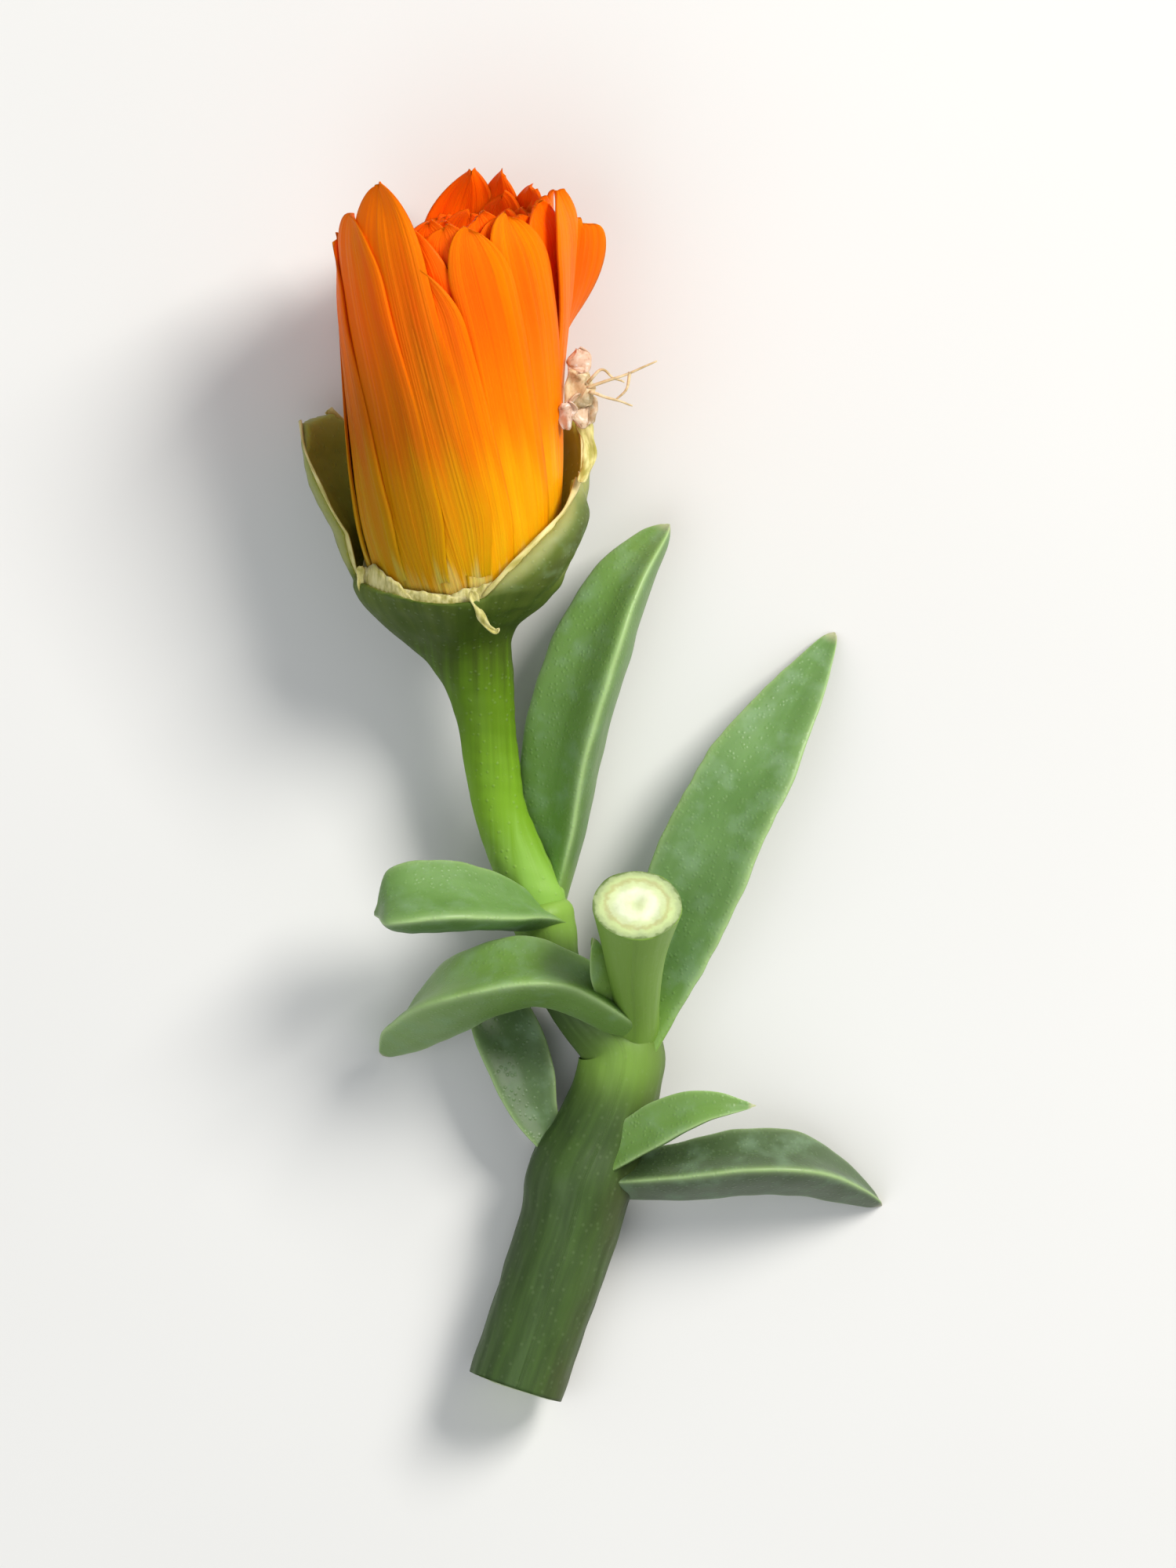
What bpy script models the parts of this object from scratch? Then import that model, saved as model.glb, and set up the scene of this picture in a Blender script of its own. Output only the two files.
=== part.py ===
"""One ice plant flower, picked with its stalk and a short leafy stem, and laid on its side.

Sizes here are in millimetres, and solid() turns them to metres. +Z is up and the floor is z = 0. The flower
points along +Y and the cut end of the stem along -Y. Seen from above, the sprig lies as it grew towards
someone looking down on the plant: closed petals, calyx, bright stalk, a pair of bracts, and two pairs of
leaves with the cut stub of a second flower stalk between them.
"""

import math
import random

import bmesh
import bpy
import numpy as np
from mathutils import Vector

MM = 0.001
GAP = 0.3
SEED = 7

# Bloom: the centre of the calyx rim, and where the flower points.
RIM_CENTRE = (-2.4, 8.0, 4.85)
BLOOM_RISE_DEG = 13.0
BLOOM_HEADING_DEG = -1.5

# Calyx cup: outer radius and inner radius at the rim, and the floor of its shallow hollow.
RIM_RADIUS = 4.9
CUP_INNER_RADIUS = 4.3
CUP_FLOOR_RADIUS = 3.4
CUP_DEPTH = 1.3
CUP_SIDES = 20

# Petals. Their feet stand on a ring in the cup.
PETAL_REACH = 17.3
PETAL_THICKNESS = 0.6
PETAL_ROOT = -0.7
PETAL_OVERLAP = 0.2
PETAL_BASE_HALF_WIDTH = 0.82
PETAL_TWIST_DEG = 44.0
PETAL_RING = (1.65, 3.2)
PETAL_RING_TOP = -0.3
# The outer ones: angle of the tip from the top towards +X, reach over the rim, half width, lean of the tip
# outwards, how far it rolls its face upwards in degrees, and how pointed the tip is.
OUTER_PETALS = (
    (93.0, 15.8, 1.3, 1.0, 62.0, 0.25),
    (71.0, 17.75, 1.5, 0.7, 0.0, 0.8),
    (32.0, 17.15, 1.65, 0.1, 0.0, 0.5),
    (8.0, 16.75, 1.5, 0.05, 0.0, 0.55),
    (-22.0, 14.9, 1.5, 0.1, 0.0, 0.75),
    (-39.0, 18.6, 1.95, 0.0, 0.0, 0.65),
    (-63.0, 17.0, 1.8, 0.05, 0.0, 0.5),
    (-94.0, 15.5, 1.6, 0.0, 0.0, 0.6),
    (-127.0, 15.8, 1.5, -0.1, 0.0, 0.7),
    (-159.0, 15.0, 1.6, 0.0, 0.0, 0.7),
    (168.0, 17.5, 1.7, 0.0, 0.0, 0.8),
    (149.0, 17.4, 1.4, -0.1, 0.0, 0.8),
    (122.0, 16.5, 1.5, 0.1, 0.0, 0.7),
)
# Radius of the closed tube of petals at distances over the rim.
TUBE_RADII = (
    (-1.0, 3.35), (0, 3.95), (1, 4.25), (2.5, 4.55), (4.5, 4.72),
    (8.5, 4.87), (12, 5.1), (16, 5.1), (18.5, 4.6),
)
# Layers inside the outer one: count, half width, how far inside it they stand at the foot and above the cup,
# and how much shorter they are.
INNER_LAYERS = ((9, 0.95, 0.5, 1.25, 0.5), (7, 0.85, 1.15, 2.05, 1.4))
# The inner petals stand lower at this angle, where the outer ones leave a valley.
VALLEY_DEG = 200.0
VALLEY_DEPTH = 1.3

# Sepals: angle from the top towards +X, length, half width, lean away from the petals per mm over the bend,
# turn of the tip in degrees, and how blunt the tip is. They stand this far outside the petals.
SEPALS = (
    (-118.0, 6.5, 2.9, 0.42, 0.0, 0.8),
    (32.0, 4.5, 2.3, 0.0, 50.0, 0.15),
    (118.0, 6.5, 2.6, 0.18, 6.0, 0.4),
    (-168.0, 7.0, 2.8, 0.05, 0.0, 0.2),
)
SEPAL_STANDOFF = 0.95
SEPAL_BEND = 2.0
SEPAL_ROOT = -1.0
SEPAL_SINK = 0.7
SEPAL_EDGE = 0.5
SEPAL_CROWN = 0.7
SEPAL_WIDTHS = ((0, 0.9), (0.3, 1), (0.62, 0.78), (0.86, 0.4), (1, 0.14))
BLUNT_SEPAL_WIDTHS = ((0, 0.85), (0.3, 0.95), (0.62, 1), (0.88, 0.92), (1, 0.55))

# The stalk and the cup's outside in one run: x, y, z and radius, from the upper node to the rim.
STALK = (
    (1.1, -6.6, 2.9, 1.25),
    (0.9, -6.0, 2.9, 1.28),
    (0.35, -5.0, 2.95, 1.26),
    (-0.33, -3.4, 3.05, 1.2),
    (-0.85, -1.2, 3.25, 1.2),
    (-1.15, 1.1, 3.5, 1.3),
    (-1.5, 3.1, 3.75, 1.53),
    (-1.9, 4.6, 4.05, 1.95),
    (-2.15, 5.5, 4.27, 2.65),
    (-2.28, 6.3, 4.46, 3.55),
    (-2.36, 7.2, 4.66, 4.4),
)

# The leafy stem from just under the upper node to its cut end, with a swelling at each node.
STEM = (
    (1.3, -7.1, 2.9, 1.25),
    (1.4, -7.9, 2.85, 1.1),
    (1.9, -9.7, 2.8, 1.2),
    (3.3, -11.5, 2.7, 1.45),
    (4.75, -13.0, 2.65, 1.85),
    (4.6, -14.9, 2.45, 1.9),
    (3.75, -17.2, 2.25, 2.1),
    (3.0, -18.9, 2.25, 2.4),
    (2.35, -21.4, 2.15, 2.2),
    (0.1, -28.2, 2.0, 2.1),
)
STUB = ((5.3, -12.4, 3.0, 1.25), (5.45, -11.0, 5.0, 1.05), (5.4, -8.7, 7.9, 1.4), (5.5, -6.7, 10.2, 1.98))
STUB_BRACT = ((4.85, -11.0, 4.6), (4.1, -9.6, 6.6), (3.8, -8.3, 8.3))
STUB_BRACT_WIDTH = 1.7

# Leaves: the way their flat side looks, full width, thickness as a share of the width, how blunt the tip is,
# how much the foot narrows, and the line they follow.
LEAVES = {
    "bract_right": (
        (-0.66, -0.1, 0.75), 4.45, 0.84, 0.2, 0.35,
        (
            (1.5, -6.9, 2.0), (2.15, -3.4, 2.15), (2.7, 0.4, 2.8),
            (3.75, 3.9, 3.3), (5.15, 7.4, 3.2), (6.85, 10.05, 2.3),
        ),
    ),
    "bract_left": (
        (-0.1, 0.62, 0.78), 3.7, 0.75, 0.9, 0.0,
        (
            (1.6, -7.3, 3.6), (-0.2, -7.0, 5.2), (-2.6, -6.75, 6.5),
            (-4.6, -6.85, 7.1), (-5.95, -7.1, 6.9),
        ),
    ),
    "leaf_right": (
        (-0.22, 0.1, 0.97), 4.9, 0.6, 0.0, 0.3,
        (
            (5.2, -13.0, 2.6), (7.3, -8.2, 3.0), (9.7, -2.7, 2.9),
            (12.2, 1.7, 1.8), (14.25, 5.25, 0.1),
        ),
    ),
    "leaf_left": (
        (-0.08, 0.76, 0.64), 4.1, 0.8, 0.15, 0.6,
        (
            (5.6, -12.9, 3.2), (4.4, -11.6, 4.7), (2.6, -10.45, 5.9), (0.6, -10.05, 6.5),
            (-2.25, -10.75, 5.6), (-4.3, -12.05, 3.2), (-5.75, -13.4, 0.15),
        ),
    ),
    "lower_leaf_left": (
        (0.1, 0.3, 0.95), 3.8, 0.6, 0.3, 0.75,
        (
            (2.3, -18.4, 2.2), (1.0, -16.2, 2.1), (0.2, -14.0, 1.8),
            (-0.8, -11.6, 1.3), (-1.7, -9.6, 0.9),
        ),
    ),
    "lower_leaf_right": (
        (0.1, 0.8, 0.6), 3.6, 0.8, 0.1, 0.45,
        (
            (3.4, -19.2, 2.3), (7.7, -18.8, 3.2), (10.3, -18.45, 3.5),
            (12.8, -18.55, 2.9), (14.8, -19.3, 1.5), (16.3, -20.1, 0.1),
        ),
    ),
    "axil_leaf": (
        (-0.3, 0.3, 0.9), 2.1, 0.75, 0.0, 0.1,
        (
            (4.0, -18.2, 3.2), (6.6, -16.6, 4.4),
            (8.6, -15.8, 5.2), (10.6, -15.65, 5.4),
        ),
    ),
}
LEAF_WIDTHS = ((0, 0.78), (0.2, 0.95), (0.42, 1.0), (0.65, 0.83), (0.83, 0.52), (0.94, 0.24), (1.0, 0.1))
BLUNT_LEAF_WIDTHS = ((0, 0.58), (0.3, 0.8), (0.6, 1.0), (0.85, 1.0), (0.95, 0.82), (1.0, 0.45))
LEAF_TIP = 0.3
FLOOR_DIPS = ("flower_base", "stem", "leaf_right", "leaf_left", "lower_leaf_right")

# Stamens and stigmas, hidden in the closed flower.
STAMEN_COUNT = 8
STAMEN_CIRCLE_RADIUS = 0.98
STAMEN_RING = (0.75, 1.35)
STAMEN_RING_TOP = -0.4
STAMEN_ROOT = -0.7
STAMEN_HEIGHTS = (7.4, 9.2, 8.1)
# Radii of the filament's top and the anther, at rises over the stamen's height.
ANTHER_RADII = ((0, 0.3), (0.35, 0.38), (1.1, 0.36), (1.5, 0.2))
STIGMA_COUNT = 5
STIGMA_LENGTH = 3.2

COLOURS = {
    "petals": ((0.74, 0.155, 0.004), 0.45),
    "stamens": ((0.72, 0.44, 0.05), 0.6),
    "flower_base": ((0.115, 0.17, 0.03), 0.5),
    "stem": ((0.065, 0.125, 0.03), 0.55),
    "leaf": ((0.085, 0.21, 0.05), 0.42),
}


def bloom_axes():
    """The way the flower points, the side of it that looks up, and the side towards +X."""
    rise = math.radians(BLOOM_RISE_DEG)
    heading = math.radians(BLOOM_HEADING_DEG)
    flat = math.cos(rise)
    along = np.array((math.sin(heading) * flat, math.cos(heading) * flat, math.sin(rise)))
    up = np.array((0.0, 0.0, 1.0)) - along * along[2]
    up /= np.linalg.norm(up)
    return along, up, np.cross(along, up)


ALONG, UP, RIGHT = bloom_axes()


def bloom_point(angle, radius, reach):
    """A point round the flower's axis: angle from the top towards +X, radius, and distance over the rim."""
    out = UP * math.cos(angle) + RIGHT * math.sin(angle)
    return np.array(RIM_CENTRE) + ALONG * reach + out * radius


def ramp(value, low, high):
    """0 below low, 1 above high, and an even S between."""
    t = min(max((value - low) / (high - low), 0.0), 1.0)
    return t * t * (3 - 2 * t)


def between(stations, value):
    """The value read off a list of (place, value) stations."""
    places, values = zip(*stations)
    return float(np.interp(value, places, values))


def mixed(plain, blunt_stations, share, value):
    """The value between two lists of stations, at the blunt one's share."""
    return (1 - share) * between(plain, value) + share * between(blunt_stations, value)


def curve_through(points, count):
    """Rows evenly spread along the smooth curve through rows whose first three numbers are a place."""
    rows = np.array(points, float)
    rows = np.vstack([2 * rows[0] - rows[1], rows, 2 * rows[-1] - rows[-2]])
    fine = []
    for a, b, c, d in zip(rows, rows[1:], rows[2:], rows[3:]):
        for t in np.linspace(0, 1, 24, endpoint=False):
            bend = t * t * (a - 2.5 * b + 2 * c - 0.5 * d) + 0.5 * t**3 * (3 * b - a - 3 * c + d)
            fine.append(b + 0.5 * t * (c - a) + bend)
    fine = np.array(fine + [rows[-2]])
    steps = np.linalg.norm(np.diff(fine[:, :3], axis=0), axis=1)
    along = np.concatenate([[0], np.cumsum(steps)])
    want = np.linspace(0, along[-1], count)
    return np.column_stack([np.interp(want, along, column) for column in fine.T])


def solid(name, rings, first=None, last=None, closed=False):
    """A mesh skinned over rings of points in millimetres. first and last are points that close its ends."""
    mesh = bpy.data.meshes.new(name)
    build = bmesh.new()
    rows = [[build.verts.new(Vector(p) * MM) for p in ring] for ring in rings]
    pairs = list(zip(rows, rows[1:])) + ([(rows[-1], rows[0])] if closed else [])
    for low, high in pairs:
        for i in range(len(low)):
            j = (i + 1) % len(low)
            build.faces.new((low[i], low[j], high[j], high[i]))
    for row, point in ((rows[0], first), (rows[-1], last)):
        if point is not None:
            middle = build.verts.new(Vector(point) * MM)
            for i in range(len(row)):
                build.faces.new((row[i], row[(i + 1) % len(row)], middle))
    bmesh.ops.recalc_face_normals(build, faces=build.faces)
    build.to_mesh(mesh)
    build.free()
    mesh.shade_smooth()
    made = bpy.data.objects.new(name, mesh)
    bpy.context.scene.collection.objects.link(made)
    return made


def across(path, i, face):
    """Unit vectors at a point of a path: the side way, and the way nearest to face, square to the path."""
    ahead = path[min(i + 1, len(path) - 1), :3] - path[max(i - 1, 0), :3]
    ahead = ahead / np.linalg.norm(ahead)
    top = np.array(face, float) - ahead * np.dot(face, ahead)
    top /= np.linalg.norm(top)
    return np.cross(ahead, top), top


def round_rings(path, sides, grow=0.0, ridge=0.0):
    """Rings of a round stem along a path whose fourth number is the radius, with four faint ridges."""
    rings = []
    for i, row in enumerate(path):
        side, top = across(path, i, (0, 0, 1) if abs(path[-1, 2] - path[0, 2]) < 4 else (0, -1, 0))
        ring = []
        for k in range(sides):
            turn = 2 * math.pi * k / sides
            radius = (row[3] + grow) * (1 + ridge * math.cos(4 * turn))
            ring.append(row[:3] + (side * math.sin(turn) + top * math.cos(turn)) * radius)
        rings.append(ring)
    return rings


def stem_like(name, stations, count, sides, grow=0.0, ridge=0.0, reach=0.0):
    """A closed round stem through the stations. As a cutter it is grown outwards and longer at both ends."""
    path = curve_through(stations, count)
    if reach:
        ends = [path[0] + (path[0] - path[1]) * reach, path[-1] + (path[-1] - path[-2]) * reach]
        path = np.vstack([ends[0], path, ends[1]])
    return solid(name, round_rings(path, sides, grow, ridge), path[0, :3], path[-1, :3])


def cut(target, cutter, operation="DIFFERENCE", solver="EXACT"):
    """A Boolean with one cutter, which is left out of the model."""
    step = target.modifiers.new(cutter.name, "BOOLEAN")
    step.operation = operation
    step.object = cutter
    step.solver = solver
    cutter.hide_render = True
    cutter.display_type = "WIRE"


def apply_modifiers(target):
    graph = bpy.context.evaluated_depsgraph_get()
    old = target.data
    target.data = bpy.data.meshes.new_from_object(target.evaluated_get(graph))
    target.modifiers.clear()
    bpy.data.meshes.remove(old)


def drop_scraps(target):
    """Keeps the largest connected body of a mesh, and drops what its cuts left loose."""
    build = bmesh.new()
    build.from_mesh(target.data)
    left = set(build.verts)
    bodies = []
    while left:
        body = set()
        edge = [left.pop()]
        while edge:
            vert = edge.pop()
            body.add(vert)
            linked = {link.other_vert(vert) for link in vert.link_edges} & left
            left -= linked
            edge += linked
        bodies.append(body)
    for body in sorted(bodies, key=len)[:-1]:
        bmesh.ops.delete(build, geom=list(body), context="VERTS")
    build.to_mesh(target.data)
    build.free()


def fuse(base, pieces):
    """Unites a base and the pieces that grow from it into one closed body."""
    group = bpy.data.collections.new(base.name + "_pieces")
    for piece in pieces:
        group.objects.link(piece)
    union = base.modifiers.new("union", "BOOLEAN")
    union.operation = "UNION"
    union.operand_type = "COLLECTION"
    union.collection = group
    union.solver = "EXACT"
    apply_modifiers(base)
    for piece in pieces:
        bpy.data.objects.remove(piece)
    bpy.data.collections.remove(group)


def blade(name, place, rows, columns):
    """A thin curved blade. place(x, t) gives its outer and inner point at x across and t along."""
    rings = []
    for t in np.linspace(0, 1, rows):
        pairs = [place(x, t) for x in np.linspace(-1, 1, columns)]
        rings.append([outer for outer, _ in pairs] + [inner for _, inner in reversed(pairs)])
    ends = [np.mean(rings[0], axis=0), np.mean(rings[-1], axis=0)]
    return solid(name, rings, *ends)


def ring_body(name, inner, outer, high, sides):
    """A flat ring over the cup's floor, which a bunch of blades or filaments grows from."""
    low = GAP - CUP_DEPTH
    corners = ((inner, low), (outer, low), (outer, high), (inner, high))
    spread = [2 * math.pi * k / sides for k in range(sides)]
    rings = [[bloom_point(turn, radius, reach) for radius, reach in corners] for turn in spread]
    return solid(name, rings, closed=True)


def petal(name, tip_degrees, reach, half_width, inside, overlap, lean, roll_degrees, point):
    """One strap-shaped petal of the closed tube, which lies over the next one at its right edge."""

    def place(x, t):
        over = PETAL_ROOT + (reach - PETAL_ROOT) * t
        broad = PETAL_BASE_HALF_WIDTH + (half_width - PETAL_BASE_HALF_WIDTH) * ramp(over, 0.8, 4.4)
        broad *= between(((0, 1), (0.8, 1), (0.92, 1 - 0.3 * point), (1, 1 - 0.95 * point)), t)
        roll = math.radians(roll_degrees) * ramp(t, 0.45, 0.9)
        radius = between(TUBE_RADII, over) - between(((0, inside[0]), (2, inside[1])), over)
        radius += overlap * ramp(over, 0, 2) * x + lean * ramp(t, 0.5, 1.0) + x * broad * math.sin(roll)
        twist = math.radians(PETAL_TWIST_DEG) * (1 - over / PETAL_REACH)
        turn = math.radians(tip_degrees) + twist + x * broad * math.cos(roll) / radius
        under = turn + PETAL_THICKNESS * math.sin(roll) / radius
        inner = bloom_point(under, radius - PETAL_THICKNESS * math.cos(roll), over)
        return bloom_point(turn, radius, over), inner

    return blade(name, place, 10, 3)


def petals():
    """Three layers of petals that close into a tube, on one ring in the cup."""
    draw = random.Random(SEED)
    base = ring_body("petals", *PETAL_RING, PETAL_RING_TOP, 26)
    blades = []
    for k, (angle, reach, half_width, lean, roll, point) in enumerate(OUTER_PETALS):
        blades.append(petal(f"petal_{k}", angle, reach, half_width, (0, 0), PETAL_OVERLAP, lean, roll, point))
    for layer, (count, half_width, at_foot, above, shorter) in enumerate(INNER_LAYERS):
        for k in range(count):
            angle = 360 * (k + 0.5 * layer) / count
            low = VALLEY_DEPTH * math.cos(math.radians(0.5 * (angle - VALLEY_DEG))) ** 8
            reach = PETAL_REACH - shorter - low + draw.uniform(-0.5, 0.3)
            name = f"inner_petal_{layer}_{k}"
            blades.append(petal(name, angle, reach, half_width, (at_foot, above), 0, 0, 0, 0.6))
    fuse(base, blades)
    return base


def sepal(index, degrees, length, half_width, lean, turn_degrees, blunt):
    """One fleshy calyx lobe, thick down its middle and thin at its edges."""

    def place(x, t):
        reach = SEPAL_ROOT + (length - SEPAL_ROOT) * t
        broad = half_width * mixed(SEPAL_WIDTHS, BLUNT_SEPAL_WIDTHS, blunt, t)
        crown = SEPAL_CROWN * (1 - x * x) * math.sin(math.pi * min(t * 0.9, 1))
        radius = between(TUBE_RADII, max(reach, 0)) + SEPAL_STANDOFF
        radius += lean * max(reach - SEPAL_BEND, 0) - SEPAL_SINK * max(-reach, 0)
        turn = math.radians(degrees) + math.radians(turn_degrees) * t + x * broad / radius
        return bloom_point(turn, radius + crown, reach), bloom_point(turn, radius - SEPAL_EDGE, reach)

    return blade(f"sepal_{index}", place, 9, 5)


def stigma(index):
    """One short awl-shaped stigma on top of the ovary."""
    angle = 2 * math.pi * (index + 0.5) / STIGMA_COUNT
    start = bloom_point(angle, 0.22, -CUP_DEPTH - 0.3)
    end = bloom_point(angle, 0.46, STIGMA_LENGTH)
    path = np.array([[*start, 0.3], [*end, 0.16]])
    return solid(f"stigma_{index}", round_rings(path, 4), start, end)


def flower_base():
    """The stalk, the cup it widens into, its lobes and the stigmas, which grow as one piece."""
    outside = curve_through(STALK + ((*RIM_CENTRE, RIM_RADIUS),), 20)
    rings = round_rings(outside, CUP_SIDES)
    spread = [2 * math.pi * k / CUP_SIDES for k in range(CUP_SIDES)]
    rings[-1] = [bloom_point(turn, RIM_RADIUS, 0) for turn in spread]
    rings.append([bloom_point(turn, CUP_INNER_RADIUS, 0) for turn in spread])
    rings.append([bloom_point(turn, CUP_FLOOR_RADIUS, -CUP_DEPTH) for turn in spread])
    base = solid("flower_base", rings, outside[0, :3], bloom_point(0, 0, -CUP_DEPTH))
    lobes = [sepal(i, *values) for i, values in enumerate(SEPALS)]
    fuse(base, lobes + [stigma(i) for i in range(STIGMA_COUNT)])
    return base


def stamens():
    """A few stamens for the crowd that stands inside the petals, on one ring round the stigmas."""
    base = ring_body("stamens", *STAMEN_RING, STAMEN_RING_TOP, 16)
    pieces = []
    for k in range(STAMEN_COUNT):
        angle = 2 * math.pi * k / STAMEN_COUNT
        height = STAMEN_HEIGHTS[k % len(STAMEN_HEIGHTS)]
        anther = [(height + rise, radius) for rise, radius in ANTHER_RADII]
        rows = [(STAMEN_ROOT, anther[0][1]), *anther]
        path = np.array([[*bloom_point(angle, STAMEN_CIRCLE_RADIUS, high), radius] for high, radius in rows])
        pieces.append(solid(f"stamen_{k}", round_rings(path, 5), path[0, :3], path[-1, :3]))
    fuse(base, pieces)
    return base


def stub_bract(name, grow=0.0):
    """The small bract that stands against the left of the cut stub."""
    path = curve_through(STUB_BRACT, 6)
    if grow:
        path = np.vstack([path, path[-1] + (path[-1] - path[-2])])
    rings = leaf_rings(path, (-1, 0.2, 0.2), STUB_BRACT_WIDTH + 2 * grow, 0.55, 0.2, 0)
    return solid(name, rings, path[0], path[-1])


def stem():
    """The leafy stem with its cut end, and the stub of a cut flower stalk with the small bract beside it."""
    base = stem_like("stem", STEM, 20, 12, ridge=0.03)
    fuse(base, [stem_like("stub", STUB, 8, 12), stub_bract("stub_bract")])
    return base


def leaf_section(width, depth):
    """Three-cornered section: a faintly hollow flat side above and a keel below, with rounded corners."""
    low = 0.42 * depth
    points = (
        (0.5, -0.08), (0.44, 0.05), (0.0, -0.05), (-0.44, 0.05), (-0.5, -0.08),
        (-0.36, -0.5), (-0.07, -0.98), (0.07, -0.98), (0.36, -0.5),
    )
    return [(u * width, v * depth + low) for u, v in points]


def leaf_rings(path, face, width, depth_share, blunt, heel):
    rings = []
    for i, row in enumerate(path):
        share = i / (len(path) - 1)
        side, top = across(path, i, face)
        broad = width * mixed(LEAF_WIDTHS, BLUNT_LEAF_WIDTHS, blunt, share) * (1 - heel * (1 - share) ** 2)
        section = leaf_section(broad, broad * depth_share)
        rings.append([row[:3] + side * u + top * v for u, v in section])
    return rings


def leaf(name, face, width, depth_share, blunt, heel, points, seats):
    """One succulent leaf. It starts inside the stem, and the seats cut its base to lie against the stem."""
    path = curve_through(points, 13)
    ahead = path[-1] - path[-2]
    tip = path[-1] + ahead / np.linalg.norm(ahead) * LEAF_TIP
    made = solid(name, leaf_rings(path, face, width, depth_share, blunt, heel), path[0], tip)
    for seat in seats:
        cut(made, seat)
    apply_modifiers(made)
    drop_scraps(made)
    return made


def floor_block():
    """What lies under the floor. It flattens each low point that the sprig rests on."""
    bpy.ops.mesh.primitive_cube_add(size=1, location=(0, 0, -5 * MM))
    block = bpy.context.object
    block.name = "floor_block"
    block.scale = (200 * MM, 200 * MM, 10 * MM)
    return block


def paint(made, key):
    colour, roughness = COLOURS[key]
    material = bpy.data.materials.new(made.name)
    material.use_nodes = True
    shader = material.node_tree.nodes["Principled BSDF"]
    shader.inputs["Base Color"].default_value = (*colour, 1)
    shader.inputs["Roughness"].default_value = roughness
    shader.inputs["Metallic"].default_value = 0.0
    made.data.materials.clear()
    made.data.materials.append(material)


def centre_on_origin(made, helpers):
    """Moves the whole sprig so that the middle of its box stands over the origin."""
    graph = bpy.context.evaluated_depsgraph_get()
    corners = []
    for piece in made:
        cooked = piece.evaluated_get(graph)
        corners += [cooked.matrix_world @ Vector(c) for c in cooked.bound_box]
    middle = [(min(c[k] for c in corners) + max(c[k] for c in corners)) / 2 for k in range(2)]
    sprig = bpy.data.objects.new("sprig", None)
    bpy.context.scene.collection.objects.link(sprig)
    for piece in made + helpers:
        piece.parent = sprig
    sprig.location = (-middle[0], -middle[1], 0)


def main():
    for old in list(bpy.data.objects):
        bpy.data.objects.remove(old)
    made = [petals(), stamens(), flower_base(), stem()]
    seats = [
        stem_like("stem_seat", STEM, 20, 12, grow=GAP, ridge=0.03, reach=0.3),
        stem_like("stub_seat", STUB, 8, 12, grow=GAP, reach=0.3),
        stub_bract("bract_seat", GAP),
        stem_like("stalk_seat", STALK, 16, 12, grow=GAP, reach=0.3),
    ]
    for name, values in LEAVES.items():
        made.append(leaf(name, *values, seats))
    block = floor_block()
    for piece in made:
        if piece.name in FLOOR_DIPS:
            cut(piece, block)
        paint(piece, piece.name if piece.name in COLOURS else "leaf")
    centre_on_origin(made, [*seats, block])


main()
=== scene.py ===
"""Looks of one ice plant flower with its stalk and a short leafy stem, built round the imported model.

Lengths are in millimetres of the same drawing that the model was made from, and Shape.build() turns them
to metres of the frame. The flower points along +Y, the cut end of the stem along -Y, and the floor is z = 0.
"""

import math
import random

import bpy
import numpy as np
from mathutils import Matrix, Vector


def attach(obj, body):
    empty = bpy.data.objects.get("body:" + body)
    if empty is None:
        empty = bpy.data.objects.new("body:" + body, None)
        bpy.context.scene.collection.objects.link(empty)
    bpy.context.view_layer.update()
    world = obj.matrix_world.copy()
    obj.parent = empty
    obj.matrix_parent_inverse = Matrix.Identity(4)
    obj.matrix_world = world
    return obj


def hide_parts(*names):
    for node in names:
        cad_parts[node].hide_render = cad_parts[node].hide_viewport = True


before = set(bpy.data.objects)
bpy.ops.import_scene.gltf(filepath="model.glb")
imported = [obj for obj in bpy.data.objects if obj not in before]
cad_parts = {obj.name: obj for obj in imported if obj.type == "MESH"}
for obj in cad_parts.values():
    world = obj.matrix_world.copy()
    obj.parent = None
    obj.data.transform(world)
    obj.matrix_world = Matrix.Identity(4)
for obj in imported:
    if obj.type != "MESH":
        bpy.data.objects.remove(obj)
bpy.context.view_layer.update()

MM = 0.001
SEED = 7
# Where the drawing's origin stands in the frame.
DRAWING_ORIGIN = np.array((-3.327, 1.353, 0.0))

# Bloom: the centre of the calyx rim, and where the flower points.
RIM_CENTRE = np.array((-2.4, 8.0, 4.85))
BLOOM_RISE_DEG = 13.0
BLOOM_HEADING_DEG = -1.5

# Calyx cup.
RIM_RADIUS = 4.78
CUP_INNER_RADIUS = 4.35
CUP_FLOOR_RADIUS = 3.4
CUP_DEPTH = 1.3

# Petals. The outer ones: angle of the tip from the top towards +X, reach over the rim, half width, lean of
# the tip outwards, how far it rolls its face upwards in degrees, and how pointed the tip is.
OUTER_PETALS = (
    (93.0, 15.8, 1.3, 1.0, 62.0, 0.25),
    (71.0, 17.75, 1.5, 0.55, 0.0, 0.8),
    (32.0, 17.15, 1.65, 0.1, 0.0, 0.5),
    (8.0, 16.75, 1.5, 0.05, 0.0, 0.55),
    (-22.0, 14.9, 1.5, 0.1, 0.0, 0.75),
    (-39.0, 18.6, 1.95, 0.14, 0.0, 0.65),
    (-63.0, 17.0, 1.8, 0.12, 0.0, 0.5),
    (-94.0, 15.5, 1.6, 0.0, 0.0, 0.6),
    (-127.0, 15.8, 1.5, -0.1, 0.0, 0.7),
    (-159.0, 15.0, 1.6, 0.0, 0.0, 0.7),
    (168.0, 17.5, 1.7, 0.0, 0.0, 0.8),
    (149.0, 17.4, 1.4, -0.02, 0.0, 0.8),
    (122.0, 16.5, 1.5, 0.1, 0.0, 0.7),
)
PETAL_TWIST_DEG = 44.0
PETAL_REACH = 17.3
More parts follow.
